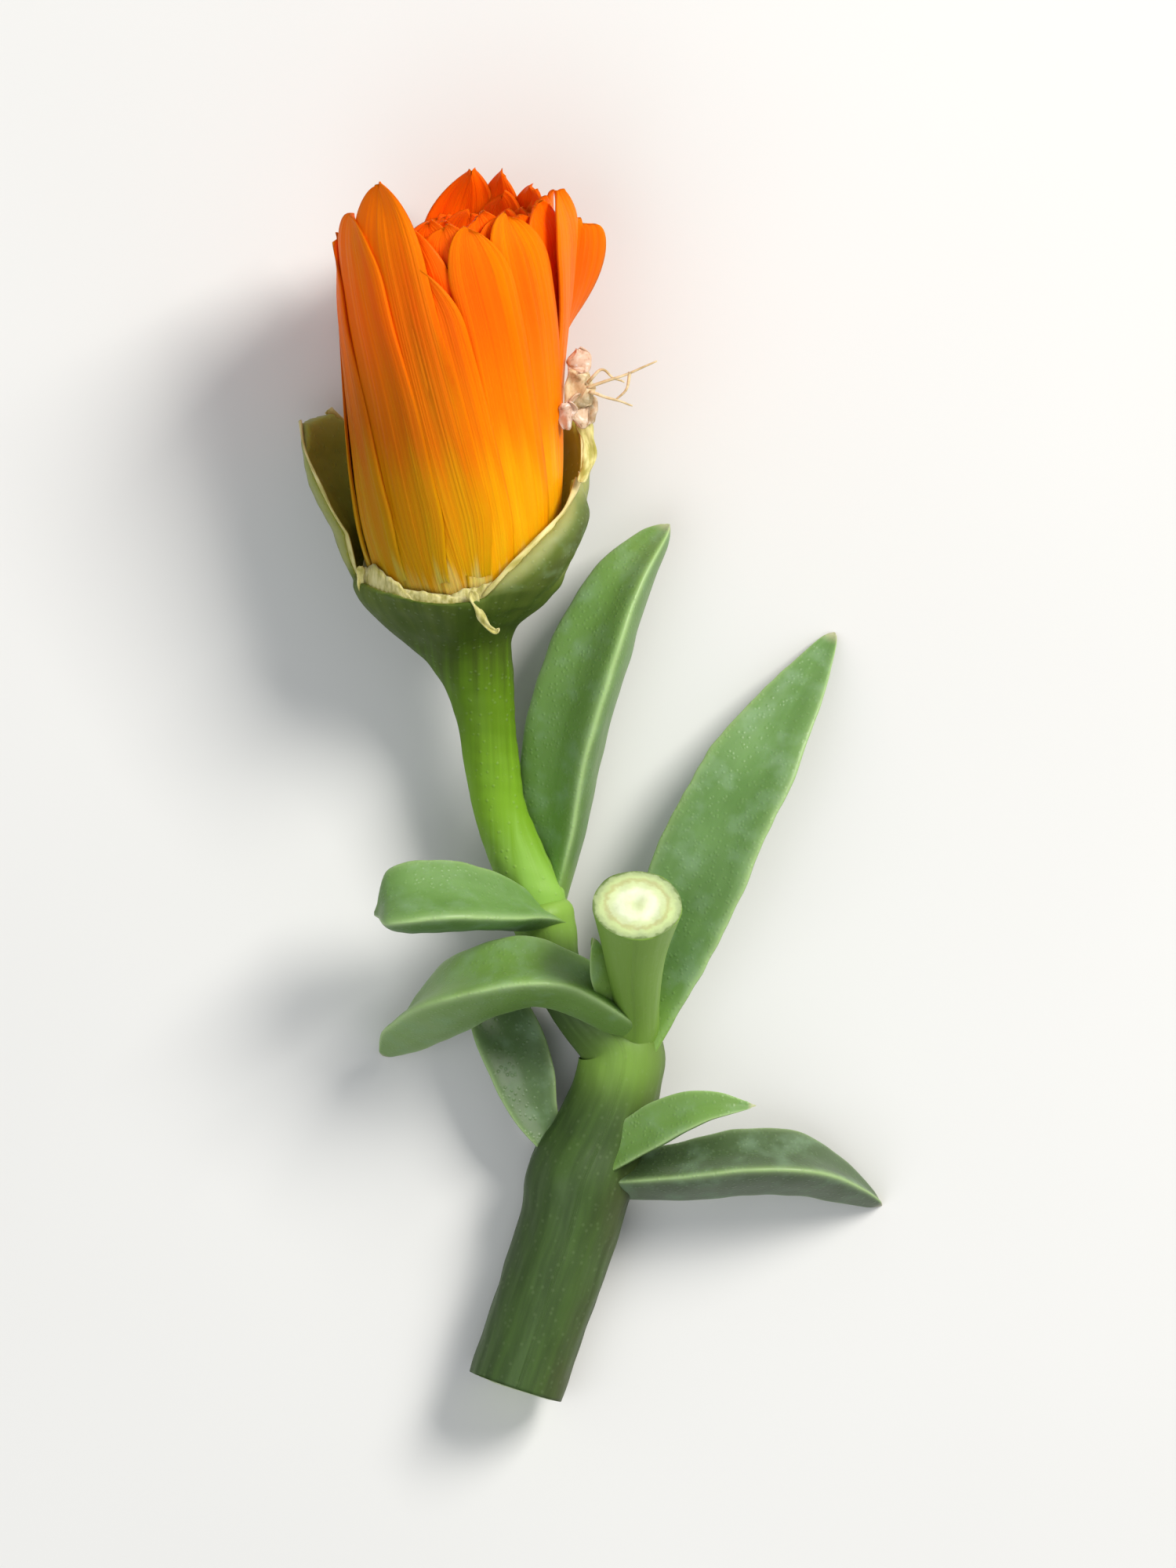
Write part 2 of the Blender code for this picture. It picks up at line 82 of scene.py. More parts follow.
PETAL_ROOT = -0.9
PETAL_OVERLAP = 0.09
PETAL_BASE_HALF_WIDTH = 1.1
PETAL_THICKNESS = 0.2
# Added to the distance across on a petal's inner face, so that its veins differ from the outer face's.
INSIDE_VEINS = 9.0
TUBE_RADII = (
    (-1.0, 3.35), (0, 3.95), (1, 4.25), (2.5, 4.55), (4.5, 4.72),
    (8.5, 4.87), (12, 5.1), (16, 5.1), (18.5, 4.6),
)
# Layers inside the outer one: count, half width, how far inside it they stand, and how much shorter.
INNER_LAYERS = (
    (12, 1.85, 0.3, 0.35), (11, 1.8, 0.65, 0.45), (9, 1.75, 1.05, 0.7),
    (7, 1.6, 1.55, 1.1), (6, 1.4, 2.1, 1.6),
)
INNER_OVERLAP = 0.1
INNER_BLUSH = 0.75
# The inner petals stand higher or lower by this much at these angles, as the outer ones do.
INNER_RISES = ((205.0, -1.5), (-22.0, 0.3), (-75.0, -0.7), (90.0, 0.1))
# The tip angle of the petals with the most painted shade in their colour, darker and browner low down.
PAINTED_SHADE_DEG = -112.0

# Sepals: angle from the top towards +X, length, half width, lean away from the petals per mm over the bend,
# turn of the tip in degrees, and how blunt the tip is. They stand this far outside the petals.
SEPALS = (
    (-118.0, 6.5, 2.9, 0.42, 0.0, 0.8),
    (32.0, 4.2, 2.3, 0.12, 54.0, 0.2),
    (118.0, 6.5, 2.6, 0.18, 6.0, 0.4),
    (-168.0, 7.0, 2.8, 0.05, 0.0, 0.2),
)
SEPAL_STANDOFF = 0.85
SEPAL_BEND = 2.0
SEPAL_ROOT = -1.0
SEPAL_SINK = 0.6
SEPAL_EDGE = 0.42
SEPAL_CROWN = 0.65
SEPAL_WIDTHS = ((0, 0.9), (0.3, 1), (0.62, 0.78), (0.86, 0.4), (1, 0.12))
BLUNT_WIDTHS = ((0, 0.85), (0.3, 0.95), (0.62, 1), (0.88, 0.92), (1, 0.55))
# Where round the flower the cup's rim leaves its plane, how far under it, and how wide that is. It dips in
# front of the petals, and rises where two lobes part at the right.
RIM_DIPS = ((-10.0, 0.4, 0.55), (76.0, -0.7, 0.22))
# Crescents of thin skin at the rim: middle angle, half its spread, height, and how far out they stand.
CRESCENTS = (
    (-58.0, 30.0, 0.95, 0.2), (-22.0, 34.0, 0.42, 0.14), (12.0, 26.0, 0.6, 0.08), (60.0, 40.0, 0.5, 0.12),
    (110.0, 50.0, 0.6, 0.12), (170.0, 50.0, 0.6, 0.12), (-130.0, 50.0, 0.7, 0.12),
)

# Dried scraps at the right of the calyx: middle, half sizes, and how pink they are.
SCRAPS = (
    ((2.9, 17.2, 7.4), (0.5, 0.85, 0.3), 1.0),
    ((3.0, 16.1, 7.8), (0.7, 0.8, 0.35), 0.6),
    ((3.1, 15.2, 7.7), (0.8, 0.6, 0.4), 0.85),
    ((2.35, 15.0, 8.3), (0.4, 0.5, 0.25), 1.0),
)
THREADS = (
    ((3.3, 16.2, 8.0), (4.4, 16.6, 8.2), (5.3, 16.9, 8.0), (6.4, 17.4, 7.8)),
    ((3.4, 16.0, 8.1), (4.3, 15.7, 8.3), (5.3, 15.4, 8.1)),
    ((5.2, 16.9, 8.0), (5.0, 16.1, 8.2), (4.5, 15.6, 8.2)),
    ((3.3, 16.4, 8.0), (3.9, 17.0, 8.2), (4.3, 16.8, 8.2), (4.9, 16.4, 8.0)),
)
THREAD_RADIUS = 0.08
# Ribbons of torn skin: half the width, how much it narrows, and the line it follows.
RIBBONS = (
    (0.22, 0.5, (
        (-1.8, 7.2, 9.5), (-1.55, 6.4, 9.15), (-1.2, 5.75, 8.65), (-0.8, 5.4, 8.4), (-0.6, 5.5, 8.5),
    )),
    (0.2, 0.6, ((-6.75, 8.3, 6.6), (-6.75, 7.5, 6.5), (-6.5, 6.9, 6.4), (-6.2, 6.8, 6.5))),
    (0.34, 0.3, (
        (3.05, 15.0, 7.2), (3.3, 14.1, 7.15), (3.4, 13.3, 7.2), (3.25, 12.6, 7.35), (3.0, 12.0, 7.6),
    )),
)

# The stalk and the cup's outside in one run: x, y, z and radius, from inside the upper node to the rim.
STALK = (
    (1.38, -7.7, 2.88, 0.9),
    (1.1, -6.6, 2.9, 1.25),
    (0.9, -6.0, 2.9, 1.28),
    (0.35, -5.0, 2.95, 1.26),
    (-0.33, -3.4, 3.05, 1.2),
    (-0.85, -1.2, 3.25, 1.2),
    (-1.15, 1.1, 3.5, 1.3),
    (-1.5, 3.1, 3.75, 1.53),
    (-1.9, 4.6, 4.05, 1.95),
    (-2.15, 5.5, 4.27, 2.65),
    (-2.28, 6.3, 4.46, 3.55),
    (-2.36, 7.2, 4.66, 4.4),
)
STALK_SIDES = 64
# The calyx is coloured by height: 0 at the stalk's foot, this much at the rim, and 1 this far over it.
STALK_FOOT_Y = -6.4
RIM_LEVEL = 0.72
LOBE_REACH = 7.0
SKIN_VOXEL = 0.13
SKIN_SMOOTHING = 5

# The leafy stem from just under the upper node to its cut end, with a swelling at each node.
STEM = (
    (1.18, -6.75, 2.9, 1.2),
    (1.28, -7.15, 2.9, 1.42),
    (1.45, -7.9, 2.85, 1.32),
    (1.9, -9.7, 2.8, 1.2),
    (3.3, -11.5, 2.7, 1.45),
    (4.75, -13.0, 2.65, 1.85),
    (4.6, -14.9, 2.45, 1.9),
    (3.75, -17.2, 2.25, 2.1),
    (3.0, -18.9, 2.25, 2.4),
    (2.35, -21.4, 2.15, 2.2),
    (0.1, -28.2, 2.0, 2.1),
)
STUB = ((5.3, -12.4, 3.0, 1.25), (5.45, -11.0, 5.0, 1.05), (5.4, -8.7, 7.9, 1.4), (5.5, -6.7, 10.2, 1.98))
STUB_BRACT = ((4.75, -11.0, 4.6), (3.95, -9.6, 6.6), (3.6, -8.3, 8.3))
STUB_BRACT_WIDTH = 1.7
STUB_FRESHNESS = 0.95
STUB_FACE = (0, -1, 0)
STEM_SIDES = 60
STUB_SIDES = 48
# Where the stem's own node is brightest.
UPPER_NODE_Y = -13.6

# Leaves: the way their flat side looks, full width, thickness as a share of the width, how blunt the tip
# is, how much the foot narrows, how fresh a green they have (dull and dark under 0, which on the lower
# left leaf is painted shade), and the line they follow.
LEAVES = {
    "bract_right": (
        (-0.66, -0.1, 0.75), 4.45, 0.84, 0.2, 0.35, 0.36,
        (
            (1.5, -6.9, 2.0), (2.15, -3.4, 2.15), (2.7, 0.4, 2.8),
            (3.75, 3.9, 3.3), (5.15, 7.4, 3.2), (6.85, 10.05, 2.3),
        ),
    ),
    "bract_left": (
        (-0.1, 0.62, 0.78), 3.7, 0.75, 0.9, 0.35, 0.15,
        (
            (1.75, -7.4, 3.1), (-0.2, -7.0, 5.2), (-2.6, -6.75, 6.5),
            (-4.6, -6.85, 7.1), (-5.95, -7.1, 6.9),
        ),
    ),
    "leaf_right": (
        (-0.22, 0.1, 0.97), 4.9, 0.6, 0.0, 0.3, 0.0,
        (
            (5.2, -13.0, 2.6), (7.3, -8.2, 3.0), (9.7, -2.7, 2.9),
            (12.2, 1.7, 1.8), (14.25, 5.25, 0.1),
        ),
    ),
    "leaf_left": (
        (-0.08, 0.76, 0.64), 4.1, 0.8, 0.0, 0.6, 0.6,
        (
            (5.6, -12.9, 3.2), (4.4, -11.6, 4.7), (2.6, -10.45, 5.9), (0.6, -10.05, 6.5),
            (-2.25, -10.75, 5.6), (-4.3, -12.05, 3.2), (-5.75, -13.4, 0.15),
        ),
    ),
    # Its negative freshness is painted shade: it lies in the shade of leaf_left above it.
    "lower_leaf_left": (
        (0.1, 0.3, 0.95), 3.8, 0.6, 0.3, 0.75, -0.6,
        (
            (2.3, -18.4, 2.2), (1.0, -16.2, 2.1), (0.2, -14.0, 1.8),
            (-0.8, -11.6, 1.3), (-1.7, -9.6, 0.9),
        ),
    ),
    "lower_leaf_right": (
        (0.1, 0.8, 0.6), 3.6, 0.8, 0.1, 0.45, -0.8,
        (
            (3.4, -19.2, 2.3), (7.7, -18.8, 3.2), (10.3, -18.45, 3.5),
            (12.8, -18.55, 2.9), (14.8, -19.3, 1.5), (16.3, -20.1, 0.1),
        ),
    ),
    "axil_leaf": (
        (-0.3, 0.3, 0.9), 2.1, 0.75, 0.0, 0.1, 0.45,
        (
            (4.0, -18.2, 3.2), (6.6, -16.6, 4.4),
            (8.6, -15.8, 5.2), (10.6, -15.65, 5.4),
        ),
    ),
}
LEAF_WIDTHS = ((0, 0.78), (0.2, 0.95), (0.42, 1.0), (0.65, 0.83), (0.83, 0.52), (0.94, 0.24), (1.0, 0.1))
BLUNT_LEAF_WIDTHS = ((0, 0.58), (0.3, 0.8), (0.6, 1.0), (0.85, 1.0), (0.95, 0.82), (1.0, 0.45))
LEAF_TIP = 0.2
LEAF_ROWS = 130
LEAF_SEED = 50

STAMEN_COUNT = 46
STIGMA_COUNT = 5
STIGMA_LENGTH = 3.2


# Points and curves

def bloom_axes():
    """The way the flower points, the side of it that looks up, and the side towards +X."""
    rise = math.radians(BLOOM_RISE_DEG)
    heading = math.radians(BLOOM_HEADING_DEG)
    level = math.cos(rise)
    along = np.array((math.sin(heading) * level, math.cos(heading) * level, math.sin(rise)))
    up = np.array((0.0, 0.0, 1.0)) - along * along[2]
    up /= np.linalg.norm(up)
    return along, up, np.cross(along, up)


ALONG, UP, RIGHT = bloom_axes()


def bloom_points(angle, radius, reach):
    """Points round the flower's axis from arrays of angle from the top, radius, and distance over the rim."""
    angle, radius, reach = np.broadcast_arrays(angle, radius, reach)
    out = UP * np.cos(angle)[..., None] + RIGHT * np.sin(angle)[..., None]
    return RIM_CENTRE + ALONG * reach[..., None] + out * radius[..., None]


def bloom_places(points):
    """The angle, radius and distance over the rim of points, the other way round from bloom_points."""
    off = points - RIM_CENTRE
    high, right = off @ UP, off @ RIGHT
    return np.arctan2(right, high), np.hypot(right, high), off @ ALONG


def ramp(value, low, high):
    """0 below low, 1 above high, and an even S between."""
    t = np.clip((value - low) / (high - low), 0.0, 1.0)
    return t * t * (3 - 2 * t)


def bump_at(value, middle, reach):
    """1 at the middle, falling to 0 at about twice the reach on both sides."""
    return np.exp(-(((value - middle) / reach) ** 2))


def between(stations, value):
    """The values read off a list of (place, value) stations, with the corners rounded off."""
    places, values = zip(*stations)
    span = 0.03 * (places[-1] - places[0])
    return sum(np.interp(value + shift * span, places, values) for shift in (-1, -0.5, 0, 0.5, 1)) / 5


def wobble(points, size, seed):
    """Smooth noise of about -1 to 1 at points in millimetres, with features of about the given size."""
    draw = np.random.default_rng(seed)
    total = 0
    for _ in range(8):
        way = draw.normal(size=3)
        wave = way / np.linalg.norm(way) * 2 * math.pi / size * draw.uniform(0.6, 1.5)
        total = total + np.sin(points @ wave + draw.uniform(0, 2 * math.pi))
    return total / 4


def spline(a, b, c, d, t):
    """The smooth curve from b to c at t, where a comes before them and d after."""
    bend = a - 2.5 * b + 2 * c - 0.5 * d
    return b + 0.5 * t * (c - a) + t**2 * bend + 0.5 * t**3 * (3 * b - a - 3 * c + d)


def curve_through(points, count):
    """Rows evenly spread along the smooth curve through rows whose first three numbers are a place."""
    rows = np.array(points, float)
    rows = np.vstack([2 * rows[0] - rows[1], rows, 2 * rows[-1] - rows[-2]])
    t = np.linspace(0, 1, 40, endpoint=False)[:, None]
    fine = [spline(a, b, c, d, t) for a, b, c, d in zip(rows, rows[1:], rows[2:], rows[3:])]
    fine = np.vstack([*fine, rows[-2]])
    along = np.concatenate([[0], np.cumsum(np.linalg.norm(np.diff(fine[:, :3], axis=0), axis=1))])
    want = np.linspace(0, along[-1], count)
    return np.column_stack([np.interp(want, along, column) for column in fine.T]), want


def across(path, face):
    """Unit vectors along a path: the side way, and the way nearest to face that is square to the path."""
    ahead = np.gradient(path[:, :3], axis=0)
    ahead /= np.linalg.norm(ahead, axis=1)[:, None]
    face = np.array(face, float)
    top = face - ahead * (ahead @ face)[:, None]
    top /= np.linalg.norm(top, axis=1)[:, None]
    return np.cross(ahead, top), top


# Meshes

class Shape:
    """Gathers grids of points into one mesh, with the values that its materials read at each point."""

    def __init__(self):
        self.points, self.faces, self.slots = [], [], []
        self.values = {}
        self.count = 0

    def add(self, grid, wrap=True, caps=(True, True), slot=0, **values):
        """A grid of rows by columns. wrap joins its last column to the first, caps close its end rows."""
        rows, columns = grid.shape[:2]
        ids = self.count + np.arange(rows * columns).reshape(rows, columns)
        right = np.roll(ids, -1, axis=1) if wrap else ids[:, 1:]
        left = ids if wrap else ids[:, :-1]
        quads = np.stack([left[:-1], right[:-1], right[1:], left[1:]], axis=-1).reshape(-1, 4)
        self.faces += quads.tolist()
        points = [grid.reshape(-1, 3)]
        extra = {name: [np.broadcast_to(value, (rows, columns)).ravel()] for name, value in values.items()}
        made = len(quads)
        for closed, row, turn in ((caps[0], 0, 1), (caps[1], rows - 1, -1)):
            if not closed:
                continue
            middle = self.count + sum(len(p) for p in points)
            points.append(grid[row].mean(axis=0)[None])
            ring = ids[row][::turn].tolist()
            self.faces += [(middle, b, a) for a, b in zip(ring, ring[1:] + ring[:1])]
            made += columns
            for name, value in values.items():
                extra[name].append([np.broadcast_to(value, (rows, columns))[row].mean()])
        self.slots += [slot] * made
        total = sum(len(p) for p in points)
        for name in set(self.values) | set(values):
            held = self.values.setdefault(name, [np.zeros(self.count)])
            held.append(np.concatenate(extra[name]) if name in extra else np.zeros(total))
        self.points += points
        self.count += total

    def build(self, name, materials=()):
        """The mesh object in the frame, in metres. Nothing of it goes under the floor."""
        points = np.vstack(self.points) + DRAWING_ORIGIN
        points[:, 2] = np.maximum(points[:, 2], 0)
        mesh = bpy.data.meshes.new(name)
        mesh.from_pydata((points * MM).tolist(), [], self.faces)
        for material in materials:
            mesh.materials.append(material)
        mesh.polygons.foreach_set("material_index", self.slots)
        for key, value in self.values.items():
            set_values(mesh, key, np.concatenate(value))
        mesh.shade_smooth()
        made = bpy.data.objects.new(name, mesh)
        bpy.context.scene.collection.objects.link(made)
        return made


def set_values(mesh, name, values):
    """Keeps one value a point on a mesh, for its materials to read."""
    layer = mesh.attributes.get(name) or mesh.attributes.new(name, "FLOAT", "POINT")
    layer.data.foreach_set("value", np.asarray(values, np.float32))


def drawing_points(mesh):
    """A mesh's points in millimetres of the drawing, and its normals."""
    points = np.zeros(len(mesh.vertices) * 3)
    mesh.vertices.foreach_get("co", points)
    normals = np.zeros(len(mesh.vertices) * 3)
    mesh.vertices.foreach_get("normal", normals)
    return points.reshape(-1, 3) / MM - DRAWING_ORIGIN, normals.reshape(-1, 3)


def place_points(mesh, points):
    """Moves a mesh's points to places in the drawing, and keeps them over the floor."""
    points = points + DRAWING_ORIGIN
    points[:, 2] = np.maximum(points[:, 2], 0)
    mesh.vertices.foreach_set("co", (points * MM).ravel())
    mesh.update()


def grow_together(piece, voxel, smoothing):
    """Turns a piece's overlapping bodies into one skin, with its creases softened as flesh is."""
    step = piece.modifiers.new("skin", "REMESH")
    step.mode = "VOXEL"
    step.voxel_size = voxel * MM
    step.use_smooth_shade = True
    soften = piece.modifiers.new("soften", "SMOOTH")
    soften.factor = 0.5
    soften.iterations = smoothing
    graph = bpy.context.evaluated_depsgraph_get()
    old = piece.data
    piece.data = bpy.data.meshes.new_from_object(piece.evaluated_get(graph))
    piece.modifiers.clear()
    bpy.data.meshes.remove(old)


def tube(path, sides, face=(0, 0, 1), relief=0):
    """A grid round a path whose fourth number is the radius, with the angle of each column."""
    side, top = across(path, face)
    turn = np.linspace(0, 2 * math.pi, sides, endpoint=False)
    out = side[:, None] * np.sin(turn)[None, :, None] + top[:, None] * np.cos(turn)[None, :, None]
    radius = path[:, 3][:, None] * (1 + relief)
    return path[:, None, :3] + out * radius[..., None], turn


def blade(outer, inner):
    """The grid of a closed thin sheet from those of its two sides, or its values from theirs."""
    return np.concatenate([outer, inner[:, ::-1]], axis=1)


# Materials

class Paint:
    """A procedural material: short calls for the nodes that feed its Principled shader."""

    def __init__(self, name, roughness=0.5, subsurface=0.0, glow=(1.0, 0.3, 0.1), depth=0.6, gloss=0.5):
        self.material = bpy.data.materials.new(name)
        self.material.use_nodes = True
        self.nodes = self.material.node_tree.nodes
        self.shader = self.nodes["Principled BSDF"]
        self.set("Roughness", roughness)
        self.set("Subsurface Weight", subsurface)
        self.set("Subsurface Radius", glow)
        self.set("Subsurface Scale", depth * MM)
        self.set("Specular IOR Level", gloss)

    def set(self, socket, value):
        """Sets a value on the shader, or links a node's output to it."""
        self.feed(self.shader.inputs[socket], value)

    def feed(self, socket, value):
        """Links a node's output to a socket, or gives the socket a value. A colour gets its alpha here."""
        if isinstance(value, bpy.types.NodeSocket):
            self.material.node_tree.links.new(value, socket)
        elif isinstance(value, tuple) and len(socket.default_value) == 4:
            socket.default_value = (*value, 1)
        else:
            socket.default_value = value

    def node(self, kind, output, inputs, **settings):
        """The named output of a new node with these inputs and settings."""
        made = self.nodes.new("ShaderNode" + kind)
        for key, value in settings.items():
            setattr(made, key, value)
        for key, value in inputs.items():
            self.feed(made.inputs[key], value)
        return made.outputs[output]

    def value(self, name):
        """A value that the mesh holds at each point."""
        return self.node("Attribute", "Fac", {}, attribute_name=name)

    def math(self, operation, *values):
        return self.node("Math", 0, dict(enumerate(values)), operation=operation)

    def place(self):
        """The point in the frame, in millimetres."""
        where = self.node("TexCoord", "Object", {})
        return self.node("VectorMath", 0, {0: where, 1: (1 / MM,) * 3}, operation="MULTIPLY")

    def lengthwise(self, stretch=0.12):
        """A space for streaks: the distance across in millimetres, and the distance along, drawn out."""
        long = self.math("MULTIPLY", self.value("along"), stretch)
        return self.node("CombineXYZ", 0, {"X": self.value("side"), "Y": long, "Z": self.value("tone")})

    def noise(self, where, size, detail=2.0):
        """Noise of 0 to 1 with features of about the given size in millimetres."""
        inputs = {"Vector": where, "Scale": 1.0 / size, "Detail": detail, "Roughness": 0.5}
        return self.node("TexNoise", "Fac", inputs)

    def dots(self, where, size):
        """0 in the middle of each of many dots about this far apart, rising outwards."""
        return self.node("TexVoronoi", "Distance", {"Vector": where, "Scale": 1.0 / size})

    def spread(self, value, low, high, start=0.0, end=1.0):
        """The value's run from low to high, spread over start to end."""
        inputs = {0: value, 1: low, 2: high, 3: start, 4: end}
        return self.node("MapRange", 0, inputs, interpolation_type="SMOOTHSTEP")

    def mix(self, share, first, second, blend="MIX"):
        made = self.nodes.new("ShaderNodeMix")
        made.data_type = "RGBA"
        made.blend_type = blend
        for index, value in ((0, share), (6, first), (7, second)):
            self.feed(made.inputs[index], value)
        return made.outputs[2]

    def colours(self, value, *stops):
        """A colour ramp of (place, colour) stops."""
        made = self.nodes.new("ShaderNodeValToRGB")
        self.feed(made.inputs[0], value)
        band = made.color_ramp
        band.interpolation = "EASE"
        while len(band.elements) < len(stops):
            band.elements.new(0.5)
        for element, (place, colour) in zip(band.elements, stops):
            element.position = place
            element.color = (*colour, 1)
        return made.outputs[0]

    def relief(self, height, depth, strength):
        """Fine relief from a height of 0 to 1, this many millimetres deep."""
        inputs = {"Strength": strength, "Distance": depth * MM, "Height": height}
        self.set("Normal", self.node("Bump", 0, inputs))


def petal_paint():
    """Orange petals, yellow at the foot and redder above and inside, with fine lengthwise veins.

    Painted shade darkens and browns the lower part of the petals on the left side of the flower.
    """
    paint = Paint("petal", subsurface=0.3, glow=(1.0, 0.3, 0.02), depth=0.3, gloss=0.05)
    fibre = paint.lengthwise()
    drift = paint.spread(paint.noise(fibre, 0.8), 0.2, 0.8, -0.09, 0.09)
    high = paint.math("ADD", paint.value("along"), drift)
    outside = paint.colours(
        high,
        (0.0, (0.86, 0.62, 0.16)),
        (0.07, (0.84, 0.43, 0.005)),
        (0.24, (0.87, 0.36, 0.002)),
        (0.44, (0.90, 0.20, 0.001)),
        (0.72, (0.95, 0.14, 0.001)),
        (1.0, (0.98, 0.19, 0.001)),
    )
    inside = paint.colours(
        high,
        (0.0, (0.75, 0.42, 0.01)),
        (0.45, (1.0, 0.15, 0.001)),
        (0.8, (1.0, 0.10, 0.001)),
        (1.0, (1.0, 0.13, 0.001)),
    )
    colour = paint.mix(paint.value("inner"), outside, inside)
    band = paint.spread(paint.noise(fibre, 0.7), 0.35, 0.65)
    plain = paint.spread(paint.value("inner"), 0.0, 1.0, 1.0, 0.2)
    share = paint.math("MULTIPLY", paint.math("MULTIPLY", band, 0.25), plain)
    colour = paint.mix(share, colour, (0.95, 0.28, 0.0))
    vein = paint.spread(paint.noise(fibre, 0.2, detail=3.0), 0.38, 0.66)
    share = paint.math("MULTIPLY", paint.math("MULTIPLY", paint.math("SUBTRACT", 1.0, vein), 0.2), plain)
    colour = paint.mix(share, colour, (0.72, 0.3, 0.0), "MULTIPLY")
    # Painted shade: petals on the left side are darkened and browned low down, fading out towards the tips.
    painted_shade = paint.spread(paint.value("tone"), 0.38, 0.95, 0.0, 0.95)
    painted_shade = paint.math("MULTIPLY", painted_shade, paint.spread(high, 0.36, 0.78, 1.0, 0.04))
    colour = paint.mix(painted_shade, colour, (0.52, 0.56, 0.25), "MULTIPLY")
    paint.set("Base Color", colour)
    paint.set("Roughness", paint.spread(vein, 0.0, 1.0, 0.52, 0.36))
    cells = paint.noise(paint.lengthwise(stretch=1.5), 0.05)
    paint.relief(paint.math("MULTIPLY_ADD", cells, 0.25, vein), 0.03, 0.7)
    return paint.material


def leaf_paint():
    """Grey-green waxy flesh with minute dots, paler corners, and a dry tip.

    The sides are painted darker than the flat face as painted shade, and the paler corners are partly painted
    highlight.
    """
    paint = Paint("leaf", subsurface=0.15, glow=(0.45, 0.9, 0.15), depth=0.5, gloss=0.35)
    patches = paint.noise(paint.place(), 3.2, detail=3.0)
    streaks = paint.noise(paint.lengthwise(stretch=0.18), 0.5, detail=2.0)
    mottle = paint.math("MULTIPLY_ADD", streaks, 0.5, paint.math("MULTIPLY", patches, 0.6))
    # Painted light and shade: the sides are darker than the flat face, which looks up to the light.
    side = paint.colours(mottle, (0.3, (0.07, 0.15, 0.04)), (0.8, (0.11, 0.22, 0.065)))
    face = paint.colours(mottle, (0.3, (0.10, 0.21, 0.05)), (0.8, (0.15, 0.285, 0.085)))
    colour = paint.mix(paint.value("face"), side, face)
    colour = paint.mix(paint.math("MULTIPLY", paint.value("foot"), 0.75), colour, (0.22, 0.38, 0.06))
    # Under 0 freshness the leaf turns a dull dark olive: real dulling, and painted shade on the lower left
    # leaf.
    colour = paint.mix(paint.value("dull"), colour, (0.05, 0.075, 0.035))
    speck = paint.spread(paint.dots(paint.place(), 0.24), 0.4, 0.1)
    colour = paint.mix(paint.math("MULTIPLY", speck, 0.08), colour, (0.30, 0.46, 0.20))
    wax = paint.spread(paint.noise(paint.place(), 1.3, detail=4.0), 0.45, 0.75, 0.0, 0.34)
    colour = paint.mix(wax, colour, (0.27, 0.41, 0.26))
    # Paler corners along both margins and the keel: partly the leaf's own pale rims and partly painted
    # highlight along the ridges.
    edge = paint.math("MULTIPLY", paint.value("edge"), 0.72)
    colour = paint.mix(edge, colour, (0.40, 0.56, 0.24))
    dry = paint.math("MULTIPLY", paint.value("tip"), 0.7)
    colour = paint.mix(dry, colour, (0.50, 0.46, 0.30))
    paint.set("Base Color", colour)
    paint.set("Roughness", paint.spread(wax, 0.0, 0.34, 0.40, 0.56))
    paint.relief(paint.math("MULTIPLY_ADD", speck, 0.7, patches), 0.03, 0.55)
    return paint.material


def stem_paint():
    """Dull green stem with faint lengthwise ridges, browner on its older side."""
    paint = Paint("stem", subsurface=0.1, glow=(0.45, 0.9, 0.15), depth=0.5, gloss=0.3)
    streaks = paint.noise(paint.lengthwise(stretch=0.1), 0.45, detail=4.0)
    colour = paint.colours(streaks, (0.3, (0.034, 0.068, 0.013)), (0.7, (0.055, 0.106, 0.022)))
    shade = paint.spread(paint.noise(paint.place(), 4.0, detail=3.0), 0.3, 0.7, 0.15, 0.6)
    colour = paint.mix(paint.math("MULTIPLY", paint.value("age"), shade), colour, (0.055, 0.06, 0.014))
    colour = paint.mix(paint.math("MULTIPLY", paint.value("foot"), 0.75), colour, (0.24, 0.42, 0.06))
    speck = paint.spread(paint.dots(paint.place(), 0.4), 0.3, 0.06)
    colour = paint.mix(paint.math("MULTIPLY", speck, 0.08), colour, (0.34, 0.46, 0.22))
    paint.set("Base Color", colour)
    paint.set("Roughness", paint.spread(streaks, 0.3, 0.7, 0.58, 0.44))
    paint.relief(streaks, 0.045, 0.5)
    return paint.material


